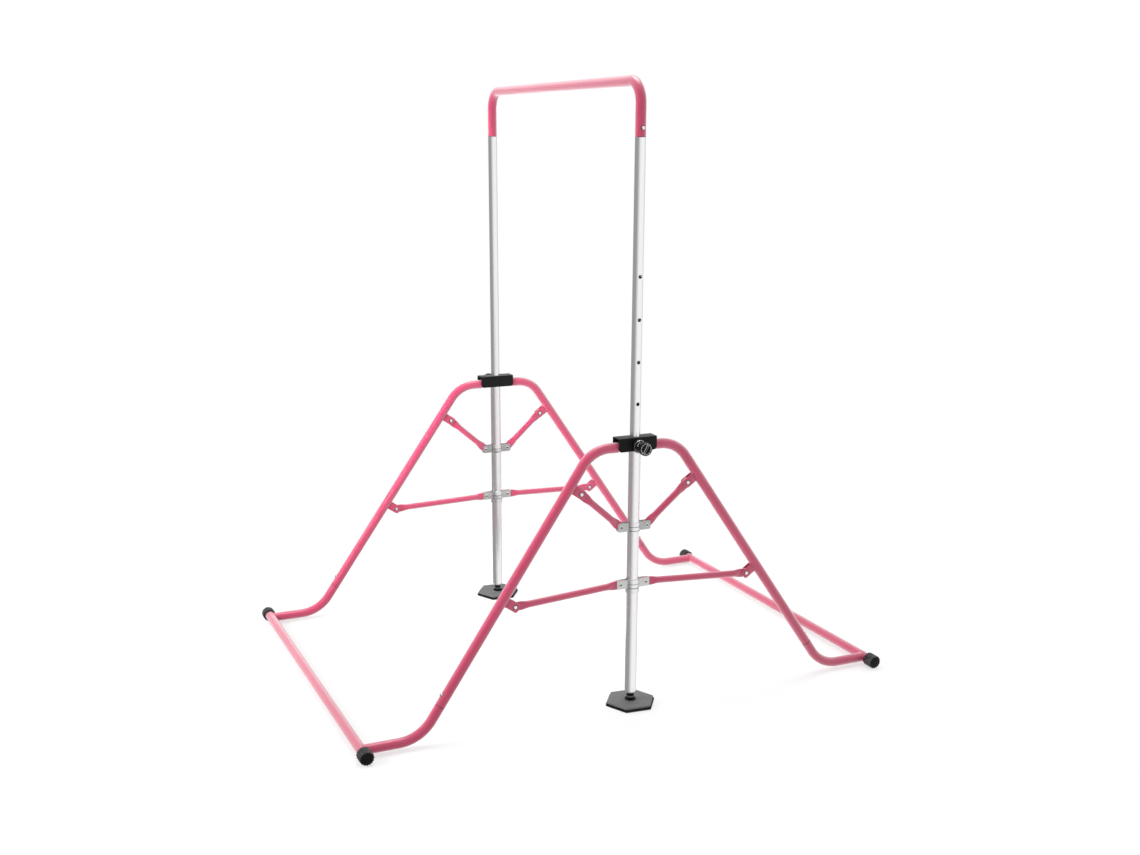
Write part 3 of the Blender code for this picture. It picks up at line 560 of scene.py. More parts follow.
def leg_point(side, end, height):
    away = LEG_CORNER_Y + (LEG_TOP_Z - height) * math.tan(LEG_ANGLE)
    return Vector((leg_x(side, height), end * away, height))


def link_pin(side, end, pin):
    return Vector((leg_x(side, pin[1]), end * pin[0], pin[1]))


def leg_button(side, end):
    """Where a leg's snap button stands on the leg's axis, and the cutter of its hole."""
    button = leg_point(side, end, SEAM_Z) - leg_direction(side, end) * BUTTON_ABOVE_SEAM
    out = leg_normal(end)
    return button, rod(button + out * 0.004, button + out * 0.02, BUTTON_HOLE_R)


def snap_button(key, centre, outward, outer_radius):
    """A domed steel button in its hole."""
    top = outer_radius + BUTTON_STANDS_OUT
    profile = [(0, top)]
    for step in range(1, 9):
        angle = math.radians(90) * step / 8
        profile.append((BUTTON_R * math.sin(angle), top - BUTTON_DOME * (1 - math.cos(angle))))
    profile += [(BUTTON_R, outer_radius - 0.003), (0, outer_radius - 0.003)]
    add(f"{key}_snap_dome", lathe(profile, centre, outward), STEEL, f"{key}_snap", f"{key}_button")


def make_bar():
    corners = [(-UPRIGHT_X, 0, BAR_END_Z), (-UPRIGHT_X, 0, BAR_HEIGHT), (UPRIGHT_X, 0, BAR_HEIGHT),
               (UPRIGHT_X, 0, BAR_END_Z)]
    buttons = [(side * UPRIGHT_X, 0, BAR_BUTTON_Z) for side in (-1, 1)]
    bar = pipe(with_stops(filleted(corners, BAR_BEND), buttons), BAR_R, BAR_WALL, TUBE_LIP)
    bar = cut(bar, [side_hole(side, BAR_BUTTON_Z, BUTTON_HOLE_R) for side in (-1, 1)])
    add("bar_pipe", bar, PINK, "bar", "top_bar")
    for name, side in LEFT_RIGHT.items():
        low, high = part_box(f"{name}_inner_tube")
        x = side * UPRIGHT_X
        heights = [LOCK_Z + HOLE_PITCH * step for step in range(HOLE_COUNT)]
        shoulder = BAR_END_Z - 0.0006
        points = with_stops([(x, 0, low.z), (x, 0, shoulder)], [(x, 0, z) for z in heights])
        holes = [side_hole(side, height, HOLE_R) for height in heights]
        tube = cut(pipe(points, INNER_R, INNER_WALL, TUBE_LIP), holes)
        add(f"{name}_inner_pipe", tube, SILVER, "bar", f"{name}_inner_tube")
        # Painted shade in the gap where the bar ends on the inner tube
        add(f"{name}_bar_seam", seam_shade_ring(Vector((x, 0, BAR_END_Z)), Vector((0, 0, 1))), SEAM, "bar")
        points = with_stops([(x, 0, shoulder - 0.006), (x, 0, high.z)], [(x, 0, BAR_BUTTON_Z)])
        spigot = cut(pipe(points, PLUG_IN_R, INNER_WALL), [side_hole(side, BAR_BUTTON_Z, BUTTON_HOLE_R)])
        add(f"{name}_inner_spigot", spigot, SILVER, "bar")
        snap_button(f"{name}_bar", (x, 0, BAR_BUTTON_Z), (side, 0, 0), BAR_R)


def seam_shade_ring(place, direction):
    """A dark ring where one tube ends against the next: painted shade in the gap between them."""
    half, inner, outer = SEAM_SHADE_RING
    return lathe([(inner, -half), (outer, -half), (outer, half), (inner, half)], place, direction, ROUND)


def make_uprights():
    for name, side in LEFT_RIGHT.items():
        low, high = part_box(f"{name}_outer_tube")
        x = side * UPRIGHT_X
        tube = pipe([(x, 0, low.z), (x, 0, high.z)], OUTER_R, OUTER_WALL, 0.0005)
        add(f"{name}_outer_pipe", tube, SILVER, "stand", f"{name}_outer_tube")


def make_feet():
    for name, side in LEFT_RIGHT.items():
        place = Vector((side * UPRIGHT_X, 0, 0))
        plug = OUTER_R - OUTER_WALL - GAP
        stem = [(0, 0.055), (plug, 0.055), (plug, 0.0336), (0.0040, 0.0334), (0.0038, 0.0290),
                (0.0080, 0.0262), (0.0104, 0.0228), (0.0102, 0.0220), (0.0050, 0.0208), (0.0044, 0.0198),
                (0.0044, 0.0168), (0.0120, 0.0152), (0.0138, 0.0142), (0.0140, 0.0134),
                (0.0140, PAD_TOP + GAP), (0, PAD_TOP + GAP)]
        add(f"{name}_foot_post", lathe(stem, place, (0, 0, 1)), PLASTIC, "stand", f"{name}_foot_stem")
        for label, low, high, radius in (("upper", 0.0290, 0.0332, 0.0092),
                                         ("lower", 0.0172, 0.0202, 0.0078)):
            bore, edge, slope = 0.0046, radius - 0.0008, 0.0006
            nut = [(bore, low), (edge, low), (radius, low + slope), (radius, high - slope), (edge, high),
                   (bore, high)]
            add(f"{name}_foot_{label}_nut", lathe(nut, place, (0, 0, 1), 6), STEEL, "stand", smooth=20)
        turn = FOOT_TURN + math.pi / 6
        pad = hexagon(place, FOOT_R - 0.003, SOLE_TOP + GAP, PAD_TOP, turn, 0.0008)
        add(f"{name}_foot_plate", pad, GREY, f"{name}_foot", f"{name}_foot_pad")
        sole = hexagon(place, FOOT_R, 0.0, SOLE_TOP, turn, 0.0012)
        add(f"{name}_foot_base", sole, RUBBER, f"{name}_foot", f"{name}_foot_sole")


def hexagon(place, radius, low, high, turn, bevel):
    """A hexagonal plate with rounded corners and softened edges."""
    outline = []
    inset = radius - FOOT_CORNER
    for index in range(6):
        middle = turn + math.pi / 3 * index
        centre = Vector((inset * math.cos(middle), inset * math.sin(middle), 0))
        for step in range(7):
            angle = middle - math.pi / 6 + math.pi / 3 * step / 6
            outline.append(centre + Vector((FOOT_CORNER * math.cos(angle), FOOT_CORNER * math.sin(angle), 0)))
    shape = bmesh.new()
    rings = []
    for height, inward in ((low, bevel), (low + bevel, 0), (high - bevel, 0), (high, bevel)):
        scale = (radius - inward) / radius
        lift = Vector((0, 0, height))
        rings.append([shape.verts.new(place + spot * scale + lift) for spot in outline])
    capped_rings(shape, rings)
    return mesh_of(shape)


def make_brackets():
    half_x, half_y = BRACKET_HALF
    bottom, top = BRACKET_Z
    for name, side in LEFT_RIGHT.items():
        x = side * UPRIGHT_X
        channel = folded((x - half_x, -half_y, bottom), (x + half_x, half_y, top),
                         lambda normal: abs(normal.y) > 0.5 or normal.z < -0.5, BRACKET_WALL,
                         lambda edge: abs(edge.verts[0].co.y - edge.verts[1].co.y) > 0.02, BRACKET_BEND,
                         lambda point: point.z < bottom + 0.001, BRACKET_CORNER, 0.0004)
        bore = rod((x, 0, top - 0.01), (x, 0, top + 0.01), BRACKET_BORE, ROUND)
        face = x + side * half_x
        hole = rod((face - side * 0.008, 0, LOCK_Z), (face + side * 0.008, 0, LOCK_Z), KNOB_HOLE_R)
        add(f"{name}_bracket_shell", cut(channel, [bore, hole]), BLACK, "brackets", f"{name}_bracket")
        make_knob(name, side, Vector((face, 0, LOCK_Z)))


def make_knob(name, side, face):
    """Pull knob: base ring, barrel, grip with its ring of marks, and the raised bar."""
    outward = Vector((side, 0, 0))
    base = [(0.0070, 0.0260), (0.0070, 0.0100), (0.0140, 0.0100), (0.0160, 0.0088), (0.0170, 0.0070),
            (0.0170, 0.0012), (0.0164, GAP), (0.0070, GAP), (0.0070, -0.0020), (0.0044, -0.0020),
            (0.0044, 0.0030), (0.0055, 0.0030), (0.0055, 0.0245), (0.0032, 0.0245), (0.0032, 0.0260)]
    add(f"{name}_knob_collar", lathe(base, face, outward, ROUND), PLASTIC, "brackets", f"{name}_knob_base")
    rim = [(0, KNOB_RECESS), (0.0143, KNOB_RECESS), (0.0147, 0.0004), (0.0151, 0), (0.0158, 0.0002),
           (0.0163, 0.0009), (0.0165, 0.0022), (0.0165, 0.0110), (0.0160, 0.0122), (0.0128, 0.0148),
           (0.0125, 0.0160)]
    neck = [(0.0125, 0.0155), (0.0132, 0.0140), (0.0145, 0.0118), (0.0145, 0.0110), (0.0080, 0.0110)]
    floor = KNOB_REACH - 0.0060
    cap = [(radius, KNOB_REACH - back) for radius, back in rim] + neck + [(0.0080, floor), (0, floor)]
    add(f"{name}_knob_grip", lathe(cap, face, outward, ROUND), PLASTIC, f"{name}_knob", f"{name}_knob_cap")
    make_knob_marks(name, side, face + outward * (KNOB_REACH - KNOB_RECESS))
    make_knob_lug(name, side, face)
    ferrule = [(0.0073, 0.0102), (0.0146, 0.0101), (0.0152, 0.0103), (0.0150, 0.0107), (0.0073, 0.0108)]
    add(f"{name}_knob_ferrule", lathe(ferrule, face, outward, ROUND), STEEL, "brackets")


def make_knob_marks(name, side, centre):
    """The raised bar on the knob's face with a pale outline round it, a painted highlight on the bar's edges,
    and the ring of pale dashes near its rim.
    """
    aim = Matrix(((0, 0, side), (1, 0, 0), (0, 1, 0))).to_4x4()
    tilt = Matrix.Rotation(side * KNOB_BAR_TILT, 4, "Z")
    # The pale outline round the ridge is a painted highlight on the bar's edges
    for part, finish, size in (("ridge", PLASTIC, (0.0032, 0.0192, 0.0022)),
                               ("outline", LINE, (0.0050, 0.0208, 0.0008))):
        deep = size[2]
        bar = applied(mesh_of(box(size)), ("BEVEL", {"width": deep * 0.25, "segments": 3}))
        bar.transform(Matrix.Translation(centre) @ aim @ tilt @ Matrix.Translation((0, 0, deep * 0.4)))
        nodes = [f"{name}_knob_bar"] if part == "ridge" else []
        add(f"{name}_knob_{part}", fixed(bar), finish, f"{name}_knob", *nodes)
    dashes = bmesh.new()
    inner, outer, height = DASH
    for index in range(KNOB_DASHES):
        start = 2 * math.pi * index / KNOB_DASHES
        rings = []
        for step in range(5):
            angle = start + DASH_SPAN * step / 4
            rings.append([dashes.verts.new((radius * math.cos(angle), radius * math.sin(angle), level))
                          for radius, level in ((inner, 0), (outer, 0), (outer, height), (inner, height))])
        capped_rings(dashes, rings)
    marks = mesh_of(dashes)
    marks.transform(Matrix.Translation(centre) @ aim)
    add(f"{name}_knob_dashes", fixed(marks), LINE, f"{name}_knob")


def make_knob_lug(name, side, face):
    """The square lug on the grip's neck, with a pale edge round its recess: a painted highlight on the
    recess's rim.
    """
    aim = Matrix(((0, 0, side), (side, 0, 0), (0, 1, 0))).to_4x4()
    turn = Matrix.Rotation(LUG_TURN, 4, "Z")
    place = Matrix.Translation(face + Vector((side * LUG_AHEAD, 0, 0))) @ aim @ turn
    place = place @ Matrix.Translation((LUG_OUT, 0, 0))
    # The pale edge is a painted highlight on the recess's rim
    for part, finish, width, tall, deep, ahead in (("block", PLASTIC, 0.0080, 0.0112, 0.0090, 0.0),
                                                   ("edge", LINE, 0.0064, 0.0096, 0.0006, 0.0046)):
        solid = mesh_of(box((width, tall, deep)))
        solid = applied(solid, ("BEVEL", {"width": deep * 0.1, "segments": 2}))
        if part == "edge":
            recess = box((width - 2 * LUG_EDGE, tall - 2 * LUG_EDGE, deep * 3))
            solid = cut(solid, [mesh_of(recess)])
        solid.transform(place @ Matrix.Translation((0, 0, ahead)))
        add(f"{name}_knob_lug_{part}", fixed(solid), finish, f"{name}_knob")


def make_legs():
    for end_name, end in FRONT_REAR.items():
        for name, side in LEFT_RIGHT.items():
            for make in (make_leg, make_elbow, make_cap):
                make(f"{end_name}_{name}", side, end, f"{end_name}_legs")
        low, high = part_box(f"{end_name}_cross_tube")
        points = [(low.x, end * CROSS_Y, CROSS_Z), (high.x, end * CROSS_Y, CROSS_Z)]
        add(f"{end_name}_cross_pipe", pipe(points, LEG_R, LEG_WALL), PINK, f"{end_name}_legs",
            f"{end_name}_cross_tube")


def make_leg(key, side, end, body):
    x = side * UPRIGHT_X
    top = Vector((x, end * LEG_INNER_Y, LEG_TOP_Z))
    corner = Vector((x, end * LEG_CORNER_Y, LEG_TOP_Z))
    last = leg_point(side, end, SEAM_Z) - leg_direction(side, end) * SEAM_GAP
    button, hole = leg_button(side, end)
    points = with_stops(filleted([top, corner, last], LEG_BEND), [button])
    add(f"{key}_leg_pipe", cut(pipe(points, LEG_R, LEG_WALL, TUBE_LIP), [hole]), PINK, body, f"{key}_leg")
    pivot = Vector((x, end * LEG_PIVOT_Y, LEG_TOP_Z))
    reach = Vector((BRACKET_HALF[0] - BRACKET_WALL - GAP, 0, 0))
    add(f"{key}_leg_pin", rod(pivot - reach, pivot + reach, LEG_PIN_R), STEEL, body)
    add(f"{key}_leg_lug", make_lug(pivot, end), PINK, body)
    for label, place in (("upper", UPPER_PIN), ("lower", LOWER_PIN)):
        pin = link_pin(side, end, place)
        add(f"{key}_{label}_clevis", make_clevis(pin, end), PINK, body)
        add(f"{key}_{label}_rivet", make_rivet(pin, CLEVIS_HALF, 0.0012), STEEL, body)
        # Dark rings round the rivet heads: painted shadow
        for mark, way in LEFT_RIGHT.items():
            seat = pin + Vector((way * (CLEVIS_HALF - 0.0002), 0, 0))
            rivet_shadow = lathe(RIVET_SHADOW_PROFILE, seat, (way, 0, 0), FASTENER_ROUND)
            add(f"{key}_{label}_washer_{mark}", rivet_shadow, RUBBER, body)
        add(f"{key}_{label}_clevis_weld", clevis_weld(pin, end), PINK, body, smooth=80)
    snap_button(f"{key}_leg", button, leg_normal(end), LEG_R)


def make_lug(pivot, end):
    """The flat lug that carries a leg's pin, on the round plug that closes the leg's end."""
    half = Vector((LUG_HALF_WIDTH, 0, 0))
    outline = [pivot + Vector((0, end * LUG_FLAT, -LUG_HALF))]
    for step in range(13):
        angle = math.pi * (step / 12 - 0.5)
        outline.append(pivot + Vector((0, -end * LUG_HALF * math.cos(angle), LUG_HALF * math.sin(angle))))
    outline.append(pivot + Vector((0, end * LUG_FLAT, LUG_HALF)))
    shape = bmesh.new()
    rings = [[shape.verts.new(point + shift) for point in outline] for shift in (-half, half)]
    join_rings(shape, *rings)
    for ring in rings:
        shape.faces.new(ring)
    lug = applied(mesh_of(shape), soft_edges(0.0004))
    start, stop = LUG_PLUG
    edge = 0.0006
    profile = [(0, start), (LUG_PLUG_R - edge, start), (LUG_PLUG_R, start + edge), (LUG_PLUG_R, stop),
               (0, stop)]
    return fixed(lug, lathe(profile, pivot, (0, end, 0)))


def clevis_frame(end):
    """Axes of a clevis: across, towards its pin from the leg, and up the leg."""
    return Matrix((Vector((end, 0, 0)), -leg_normal(end), -leg_direction(0, end))).transposed().to_4x4()


def clevis_depth(pin, end):
    """How far the clevis's back lies behind its pin."""
    distance = (leg_point(0, end, pin.z) - pin).dot(leg_normal(end))
    return distance - LEG_R + CLEVIS_SINK


def make_clevis(pin, end):
    back = clevis_depth(pin, end)
    low = (-CLEVIS_HALF, -back, -CLEVIS_HALF_HEIGHT)
    high = (CLEVIS_HALF, CLEVIS_HALF_HEIGHT, CLEVIS_HALF_HEIGHT)
    plate = folded(low, high, lambda normal: normal.y > 0.5 or abs(normal.z) > 0.5, CLEVIS_WALL,
                   lambda edge: abs(edge.verts[0].co.z - edge.verts[1].co.z) > 0.01, CLEVIS_BEND,
                   lambda point: point.y > 0, CLEVIS_CORNER, 0.0004)
    plate.transform(Matrix.Translation(pin) @ clevis_frame(end))
    return fixed(plate)


def clevis_weld(pin, end):
    """The bead where a clevis's plates meet the leg."""
    back = clevis_depth(pin, end) - CLEVIS_SINK
    half, tall = CLEVIS_HALF + 0.0003, CLEVIS_HALF_HEIGHT
    sink = LEG_R - math.sqrt(LEG_R ** 2 - half ** 2)
    outline = []
    per_side = 14
    for across in (half, -half):
        for step in range(per_side):
            up = tall * (2 * step / (per_side - 1) - 1) * (1 if across > 0 else -1)
            outline.append(Vector((across, -back - sink, up)))
    place = Matrix.Translation(pin) @ clevis_frame(end)
    return bead([place @ point for point in outline], CLEVIS_BEAD)


def make_rivet(pin, half, dimple):
    """A rivet across X with a domed head and a dimple on each side."""
    seat = half + 0.0001
    head = [(0.0030, -0.001), (0.0046, 0.0), (0.0048, 0.0004), (0.0046, 0.0010), (0.0038, 0.0017),
            (0.0030, 0.0021), (dimple + 0.0003, 0.0021), (dimple, 0.0017), (dimple, 0.0008), (0, 0.0008)]
    right = [(radius, seat + along) for radius, along in reversed(head)]
    left = [(radius, -seat - along) for radius, along in head]
    return lathe(right + left, pin, (1, 0, 0), FASTENER_ROUND)


def make_elbow(key, side, end, body):
    """The lower piece of a leg, with the weld round its joint to the cross tube."""
    down = leg_direction(side, end)
    seam = leg_point(side, end, SEAM_Z)
    ground = leg_point(side, end, CROSS_Z)
    x = ground.x
    last = Vector((x, end * (CROSS_Y - 0.004), CROSS_Z))
    begin = seam + down * SEAM_GAP
    # Painted shade in the gap between the leg and its elbow
    add(f"{key}_seam", seam_shade_ring(seam, down), SEAM, body)
    elbow = pipe(filleted([begin, ground, last], ELBOW_BEND), LEG_R, SPIGOT_WALL, TUBE_LIP)
    saddle = rod((x - 0.04, end * CROSS_Y, CROSS_Z), (x + 0.04, end * CROSS_Y, CROSS_Z), SADDLE_R, 64)
    add(f"{key}_elbow_pipe", cut(elbow, [saddle]), PINK, body, f"{key}_elbow")
    button, hole = leg_button(side, end)
    spigot_run = with_stops([seam - down * SPIGOT_LENGTH, begin + down * 0.004], [button])
    add(f"{key}_elbow_spigot", cut(pipe(spigot_run, SPIGOT_R, SPIGOT_WALL), [hole]), PINK, body)
    outline = []
    radius = LEG_R + 0.0003
    for cosine, sine in circle(44):
        across, up = radius * cosine, radius * sine
        short = math.sqrt(LEG_R ** 2 - min(abs(up), LEG_R * 0.985) ** 2)
        outline.append((x + across, end * (CROSS_Y - short - 0.0004), CROSS_Z + up))
    add(f"{key}_elbow_weld", bead(outline, ELBOW_BEAD), PINK, body, smooth=80)


def make_cap(key, side, end, body):
    """A ribbed cap over the end of a cross tube."""
    shape = bmesh.new()
    count = CAP_RIBS * 8
    edge, mouth = CROSS_END_X, CROSS_END_X - CAP_LENGTH
    # Each ring's place along X, its scale, and the share of the ribs' depth that it has
    outside = [(mouth, 0.96, 0.6), (mouth + 0.0006, 1.0, 1.0), (edge - 0.0016, 1.0, 1.0),
               (edge - 0.0005, 0.965, 0.8), (edge, 0.91, 0.3)]
    inside = [(edge - 0.003, CAP_BORE / CAP_R, 0.0), (mouth, CAP_BORE / CAP_R, 0.0)]
    rings = []
    for at, scale, depth in outside + inside:
        ring = []
        for index in range(count):
            angle = 2 * math.pi * index / count - math.pi / 2
            wave = math.cos(CAP_RIBS * (angle + math.pi / 2))
            lobe = math.copysign(abs(wave) ** 0.6, wave)
            radius = (CAP_R + CAP_RIB * lobe * depth) * scale
            ring.append(shape.verts.new((at, radius * math.cos(angle), radius * math.sin(angle))))
        rings.append(ring)
    outer, inner = rings[:len(outside)], rings[len(outside):]
    capped = outer[-1], inner[0]
    for first, second in zip(outer, outer[1:]):
        join_rings(shape, first, second)
    for ring in capped:
        shape.faces.new(ring)
    join_rings(shape, *inner)
    join_rings(shape, inner[-1], outer[0])
    mesh = mesh_of(shape)
    mesh.transform(Matrix.Translation((0, end * CROSS_Y, CROSS_Z)) @ Matrix.Diagonal((side, 1, 1, 1)))
    cap = add(f"{key}_cap", fixed(mesh), RIBBED, body, f"{key}_end_cap", smooth=50)
    cap.data.materials.append(RUBBER)
    for face in cap.data.polygons:
        face.material_index = int(abs(face.normal.x) > 0.7)


def ease(value):
    """A smooth step from 0 to 1."""
    value = min(max(value, 0.0), 1.0)
    return value * value * (3 - 2 * value)


def make_link(key, inner_end, outer_end, body):
    """A round tube pressed flat at both ends, with a pin hole in each."""
    across = Vector((1, 0, 0))
    offset = outer_end.x - inner_end.x
    level = outer_end - inner_end - across * offset
    length = level.length
    along = level.normalized()
    upward = along.cross(across)
    sectors = 40
    near = []  # each ring's place along the link, its share of the width, and its flatness
    for step in range(9):
        angle = math.radians(90) * step / 8
        near.append((-LINK_END_WIDTH * math.cos(angle), max(math.sin(angle), 0.12), 1.0))
    for step in range(13):
        share = step / 12
        near.append((LINK_FLAT + (LINK_TAPER - LINK_FLAT) * share, 1.0, 1.0 - ease(share)))
    stations = near + [(length - at, width, flat) for at, width, flat in reversed(near)]
    shape = bmesh.new()
    rings = []
    for at, width, flat in stations:
        slant = ease((at - LINK_FLAT) / (length - 2 * LINK_FLAT))
        centre = inner_end + along * at + across * (offset * slant)
        wide = (LINK_R + (LINK_END_WIDTH - LINK_R) * flat) * width
        thick = LINK_R + (LINK_END_THICK - LINK_R) * flat
        square = 1.0 - 0.65 * flat  # a lower power makes the section squarer
        ring = []
        for index in range(sectors):
            angle = 2 * math.pi * (index + 0.5) / sectors
            sine, cosine = math.sin(angle), math.cos(angle)
            thin = math.copysign(abs(cosine) ** square, cosine)
            ring.append(shape.verts.new(centre + across * (thin * thick) + upward * (sine * wide)))
        rings.append(ring)
    capped_rings(shape, rings)
    reach = Vector((0.02, 0, 0))
    holes = [rod(point - reach, point + reach, LINK_HOLE_R, FASTENER_ROUND)
             for point in (inner_end, outer_end)]
    add(f"{key}_strut", cut(mesh_of(shape), holes), PINK, body, f"{key}_link", smooth=40)


def make_links():
    levels = (("lower", LOWER_COLLAR_Z, LOWER_PIN), ("upper", UPPER_COLLAR_Z, UPPER_PIN))
    for (end_name, end), (name, side) in product(FRONT_REAR.items(), LEFT_RIGHT.items()):
        for level, height, pin in levels:
            collar_pin = Vector((side * UPRIGHT_X, end * PIVOT_Y, height))
            make_link(f"{end_name}_{name}_{level}", collar_pin, link_pin(side, end, pin),
                      f"{end_name}_{level}_links")


def make_collars():
    half = CLAMP_HEIGHT / 2
    for name, side in LEFT_RIGHT.items():
        x = side * UPRIGHT_X
        make_clamp(f"{name}_upper", Vector((x, 0, UPPER_COLLAR_Z)), UPPER_CLAMP, "upper_collars")
        place = Vector((x, 0, LOWER_COLLAR_Z))
        make_clamp(f"{name}_lower", place, LOWER_CLAMP, "lower_collars")
        soft = 0.0003
        top, step, bottom = half + SLEEVE_LIP, -half - GAP, -half - SKIRT
        ring = [(SLEEVE_IN_R, top - soft), (SLEEVE_IN_R + soft, top), (SLEEVE_OUT_R - soft, top),
                (SLEEVE_OUT_R, top - soft), (SLEEVE_OUT_R, step - soft), (SKIRT_R - soft, step - soft),
                (SKIRT_R, step - 2 * soft), (SKIRT_R, bottom + soft), (SKIRT_R - soft, bottom),
                (SLEEVE_IN_R + soft, bottom), (SLEEVE_IN_R, bottom + soft)]
        add(f"{name}_lower_bush", lathe(ring, place, (0, 0, 1), ROUND), BAND, "lower_collars",
            f"{name}_lower_collar_sleeve")


def make_clamp(key, place, form, body):
    """Two bent plates round an upright and the screws or rivets through their ears."""
    finish = DULL_PLATE if form is UPPER_CLAMP else PLATE
    ring_r, wall = form[:2]
    for label, face, nodes in (("inner", -1, []), ("outer", 1, [f"{key}_collar_clamp"])):
        plate = add(f"{key}_{label}_plate", clamp_plate(place, face, *form), finish, body, *nodes)
        plate.data.materials.append(BAND)
        for polygon in plate.data.polygons:
            polygon.material_index = int(abs(polygon.center.y) < ring_r - 0.0004)
    # Black lines proud of the plates: painted shade in the clamp's grooves
    proud, half = ring_r + wall + 0.0002, 0.0005
    line = [(ring_r, -half), (proud, -half), (proud, half), (ring_r, half)]
    for label, drop in (("middle", 0.0), ("bottom", CLAMP_HEIGHT / 2 - 0.0012)):
        add(f"{key}_{label}_groove_shade", half_ring(place - Vector((0, 0, drop)), line), RUBBER, body)
    for label, end in FRONT_REAR.items():
        centre = place + Vector((0, end * PIVOT_Y, 0))
        seat = CLAMP_GAP + wall
        add(f"{key}_{label}_screw", make_rivet(centre, seat, 0.0026), STEEL, body)
        # Black discs in the head recesses: painted shade
        for mark, side in LEFT_RIGHT.items():
            floor = centre + Vector((side * (seat + 0.0008), 0, 0))
            add(f"{key}_{label}_socket_{mark}", lathe(SOCKET_SHADE_PROFILE, floor, (side, 0, 0), 6), RUBBER, body)


def half_ring(place, line):
    """A thin line round both rings of a clamp, open where the ears leave them. In black it is painted shade
    in the clamp's grooves.
    """
    shape = bmesh.new()
    for face in (-1, 1):
        rings = []
        for step in range(25):
            angle = math.radians(30 + 120 * step / 24)
            out, along = face * math.sin(angle), math.cos(angle)
            rings.append([shape.verts.new(place + Vector((out * radius, along * radius, up)))
                          for radius, up in line])
        capped_rings(shape, rings)
    return mesh_of(shape)


def clamp_plate(place, face, bend, wall, corner):
    """Half a clamp: a flat ear, a half ring round the tube or sleeve, and a flat ear."""
    half = CLAMP_HEIGHT / 2
    edge = math.asin(CLAMP_GAP / bend)
    steps = 24
    outline = [(-CLAMP_EAR_Y, CLAMP_GAP)]
    for step in range(steps + 1):
        angle = math.pi - edge - (math.pi - 2 * edge) * step / steps
        outline.append((bend * math.cos(angle), bend * math.sin(angle)))
    outline.append((CLAMP_EAR_Y, CLAMP_GAP))
    shape = bmesh.new()
    low = [shape.verts.new((face * x, y, -half)) for y, x in outline]
    high = [shape.verts.new((face * x, y, half)) for y, x in outline]
    for index in range(len(outline) - 1):
        shape.faces.new((low[index], low[index + 1], high[index + 1], high[index]))
    bmesh.ops.recalc_face_normals(shape, faces=shape.faces)
    middle = max(shape.faces, key=lambda item: abs(item.calc_center_median().x))
    if middle.normal.dot(Vector((face, 0, 0))) < 0:
        bmesh.ops.reverse_faces(shape, faces=shape.faces)
    corners = [vert for vert in shape.verts if abs(vert.co.y) > CLAMP_EAR_Y - 0.001]
    bmesh.ops.bevel(shape, geom=corners, offset=corner, segments=8, affect="VERTICES", profile=0.5)
    plate = applied(as_mesh(shape), thickened(wall, 1.0), soft_edges(0.0003))
    plate.transform(Matrix.Translation(place))
    return plate


def dress_hidden_nodes():
    """Give the nodes that stay, such as lock pins and springs, a finish of their own."""
    for name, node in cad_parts.items():
        if "lock_pin" in name or "knob_spring" in name:
            node.data.materials.clear()
            node.data.materials.append(STEEL)
            node.data.shade_smooth()
            node.data.set_sharp_from_angle(angle=math.radians(SHARP_ANGLE))


def make_camera():
    level = math.cos(CAMERA_ELEVATION)
    back = Vector((math.sin(CAMERA_AZIMUTH) * level, -math.cos(CAMERA_AZIMUTH) * level,
                   math.sin(CAMERA_ELEVATION)))
    right = Vector((math.cos(CAMERA_AZIMUTH), math.sin(CAMERA_AZIMUTH), 0))
    up = back.cross(right)
    rolled_right = right * math.cos(CAMERA_ROLL) + up * math.sin(CAMERA_ROLL)
    rolled_up = up * math.cos(CAMERA_ROLL) - right * math.sin(CAMERA_ROLL)
    data = bpy.data.cameras.new("camera")
    data.sensor_width = SENSOR
    data.lens = SENSOR * FOCAL_PIXELS / PHOTO_WIDTH
    data.shift_x = ASIDE_PIXELS / PHOTO_WIDTH
    data.shift_y = RAISED_PIXELS / PHOTO_WIDTH
    data.clip_end = 60
    camera = placed("camera", data)
    turn = Matrix((rolled_right, rolled_up, back)).transposed().to_4x4()
    camera.matrix_world = Matrix.Translation(CAMERA_PLACE) @ turn
    bpy.context.scene.camera = camera


def softbox(tree, direction):
    """How bright the studio looks from the object: a wide softbox to the right, and dimmer walls."""
    unit = vector_math(tree, "NORMALIZE", vector_math(tree, "MULTIPLY", direction, (1, 1, 0)))
    lit = spread(tree, vector_math(tree, "DOT_PRODUCT", unit, SOFTBOX_AIM), 0.0, 1.0, *SOFTBOX_FADE)
    rear = spread(tree, make_node(tree, "SeparateXYZ", "Y", {0: unit}), 0.0, 1.0, -0.3, 0.3)
    return blend(tree, lit, blend(tree, rear, FRONT_WALL, REAR_WALL), WHITE)


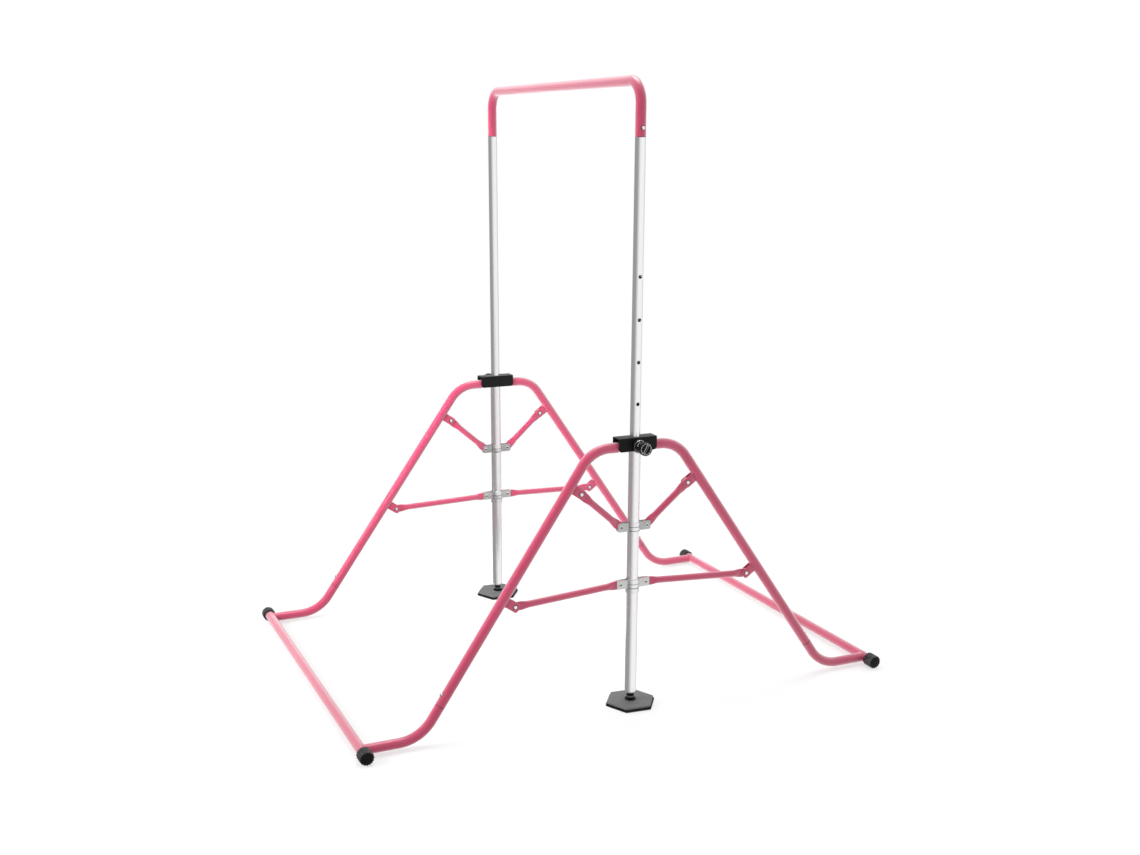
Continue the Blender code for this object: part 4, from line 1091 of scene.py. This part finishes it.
def make_floor():
    """A pale floor that keeps the object's shadow and fades into the white backdrop."""
    shape = bmesh.new()
    bmesh.ops.create_circle(shape, cap_ends=True, segments=96, radius=FLOOR_RADIUS)
    floor = placed("floor", mesh_of(shape))
    floor.location = (0, 0, -0.0005)
    made, tree, shader = new_material("floor")
    fill(tree, shader, {"Base Color": (0.90, 0.90, 0.90, 1), "Roughness": 0.9, "Specular IOR Level": 0.0})
    place = tree.nodes.new("ShaderNodeNewGeometry").outputs["Position"]
    far = spread(tree, vector_math(tree, "LENGTH", place), FLOOR_LIFT, 1.0, *FLOOR_FADE)
    faded = mix_shaders(tree, far, shader.outputs[0], make_node(tree, "Emission", 0, {}))
    side = vector_math(tree, "MULTIPLY", vector_math(tree, "SIGN", place), (-UPRIGHT_X, 0, 0))
    studio = softbox(tree, vector_math(tree, "ADD", place, side))
    gloss = tree.nodes.new("ShaderNodeLightPath").outputs["Is Glossy Ray"]
    seen = mix_shaders(tree, gloss, faded, make_node(tree, "Emission", 0, {"Color": studio}))
    fill(tree, tree.nodes["Material Output"], {"Surface": seen})
    floor.data.materials.append(made)


def make_light():
    """A white backdrop, a studio that metal reflects, and five soft lamps."""
    world = bpy.data.worlds.new("studio")
    bpy.context.scene.world = world
    world.use_nodes = True
    tree = world.node_tree
    direction = tree.nodes.new("ShaderNodeTexCoord").outputs["Generated"]
    facing = vector_math(tree, "DOT_PRODUCT", direction, AMBIENT_AIM)
    level = spread(tree, facing, AMBIENT_FRONT, AMBIENT_BACK, -0.7, 0.7)
    ambient = tree.nodes["Background"]
    fill(tree, ambient, {"Color": (1, 1, 1, 1), "Strength": level})
    height = make_node(tree, "SeparateXYZ", "Z", {0: direction})
    studio = blend(tree, spread(tree, height, 0.0, 1.0, 0.35, 0.75), softbox(tree, direction), WHITE)
    mirrored = make_node(tree, "Background", 0, {"Color": studio})
    backdrop = make_node(tree, "Background", 0, {"Color": (1, 1, 1, 1)})
    path = tree.nodes.new("ShaderNodeLightPath").outputs
    shiny = mix_shaders(tree, path["Is Glossy Ray"], ambient.outputs[0], mirrored)
    seen = tree.nodes.new("ShaderNodeMath")
    seen.operation = "MAXIMUM"
    fill(tree, seen, {0: path["Is Camera Ray"], 1: path["Is Transmission Ray"]})
    final = mix_shaders(tree, seen.outputs[0], shiny, backdrop)
    fill(tree, tree.nodes["World Output"], {"Surface": final})
    for name, place, size, power, aim, width, shows in LAMPS:
        data = bpy.data.lights.new(name, "AREA")
        data.shape = "SQUARE"
        data.size = size
        data.energy = power
        data.spread = math.radians(width)
        lamp = placed(name, data)
        lamp.location = place
        lamp.rotation_euler = (Vector(aim) - Vector(place)).to_track_quat("-Z", "Y").to_euler()
        lamp.visible_camera = False
        lamp.visible_glossy = shows


make_camera()
make_bar()
make_uprights()
make_feet()
make_brackets()
make_legs()
make_links()
make_collars()
dress_hidden_nodes()
make_floor()
make_light()
bpy.context.scene.view_settings.view_transform = "Standard"
bpy.context.view_layer.update()
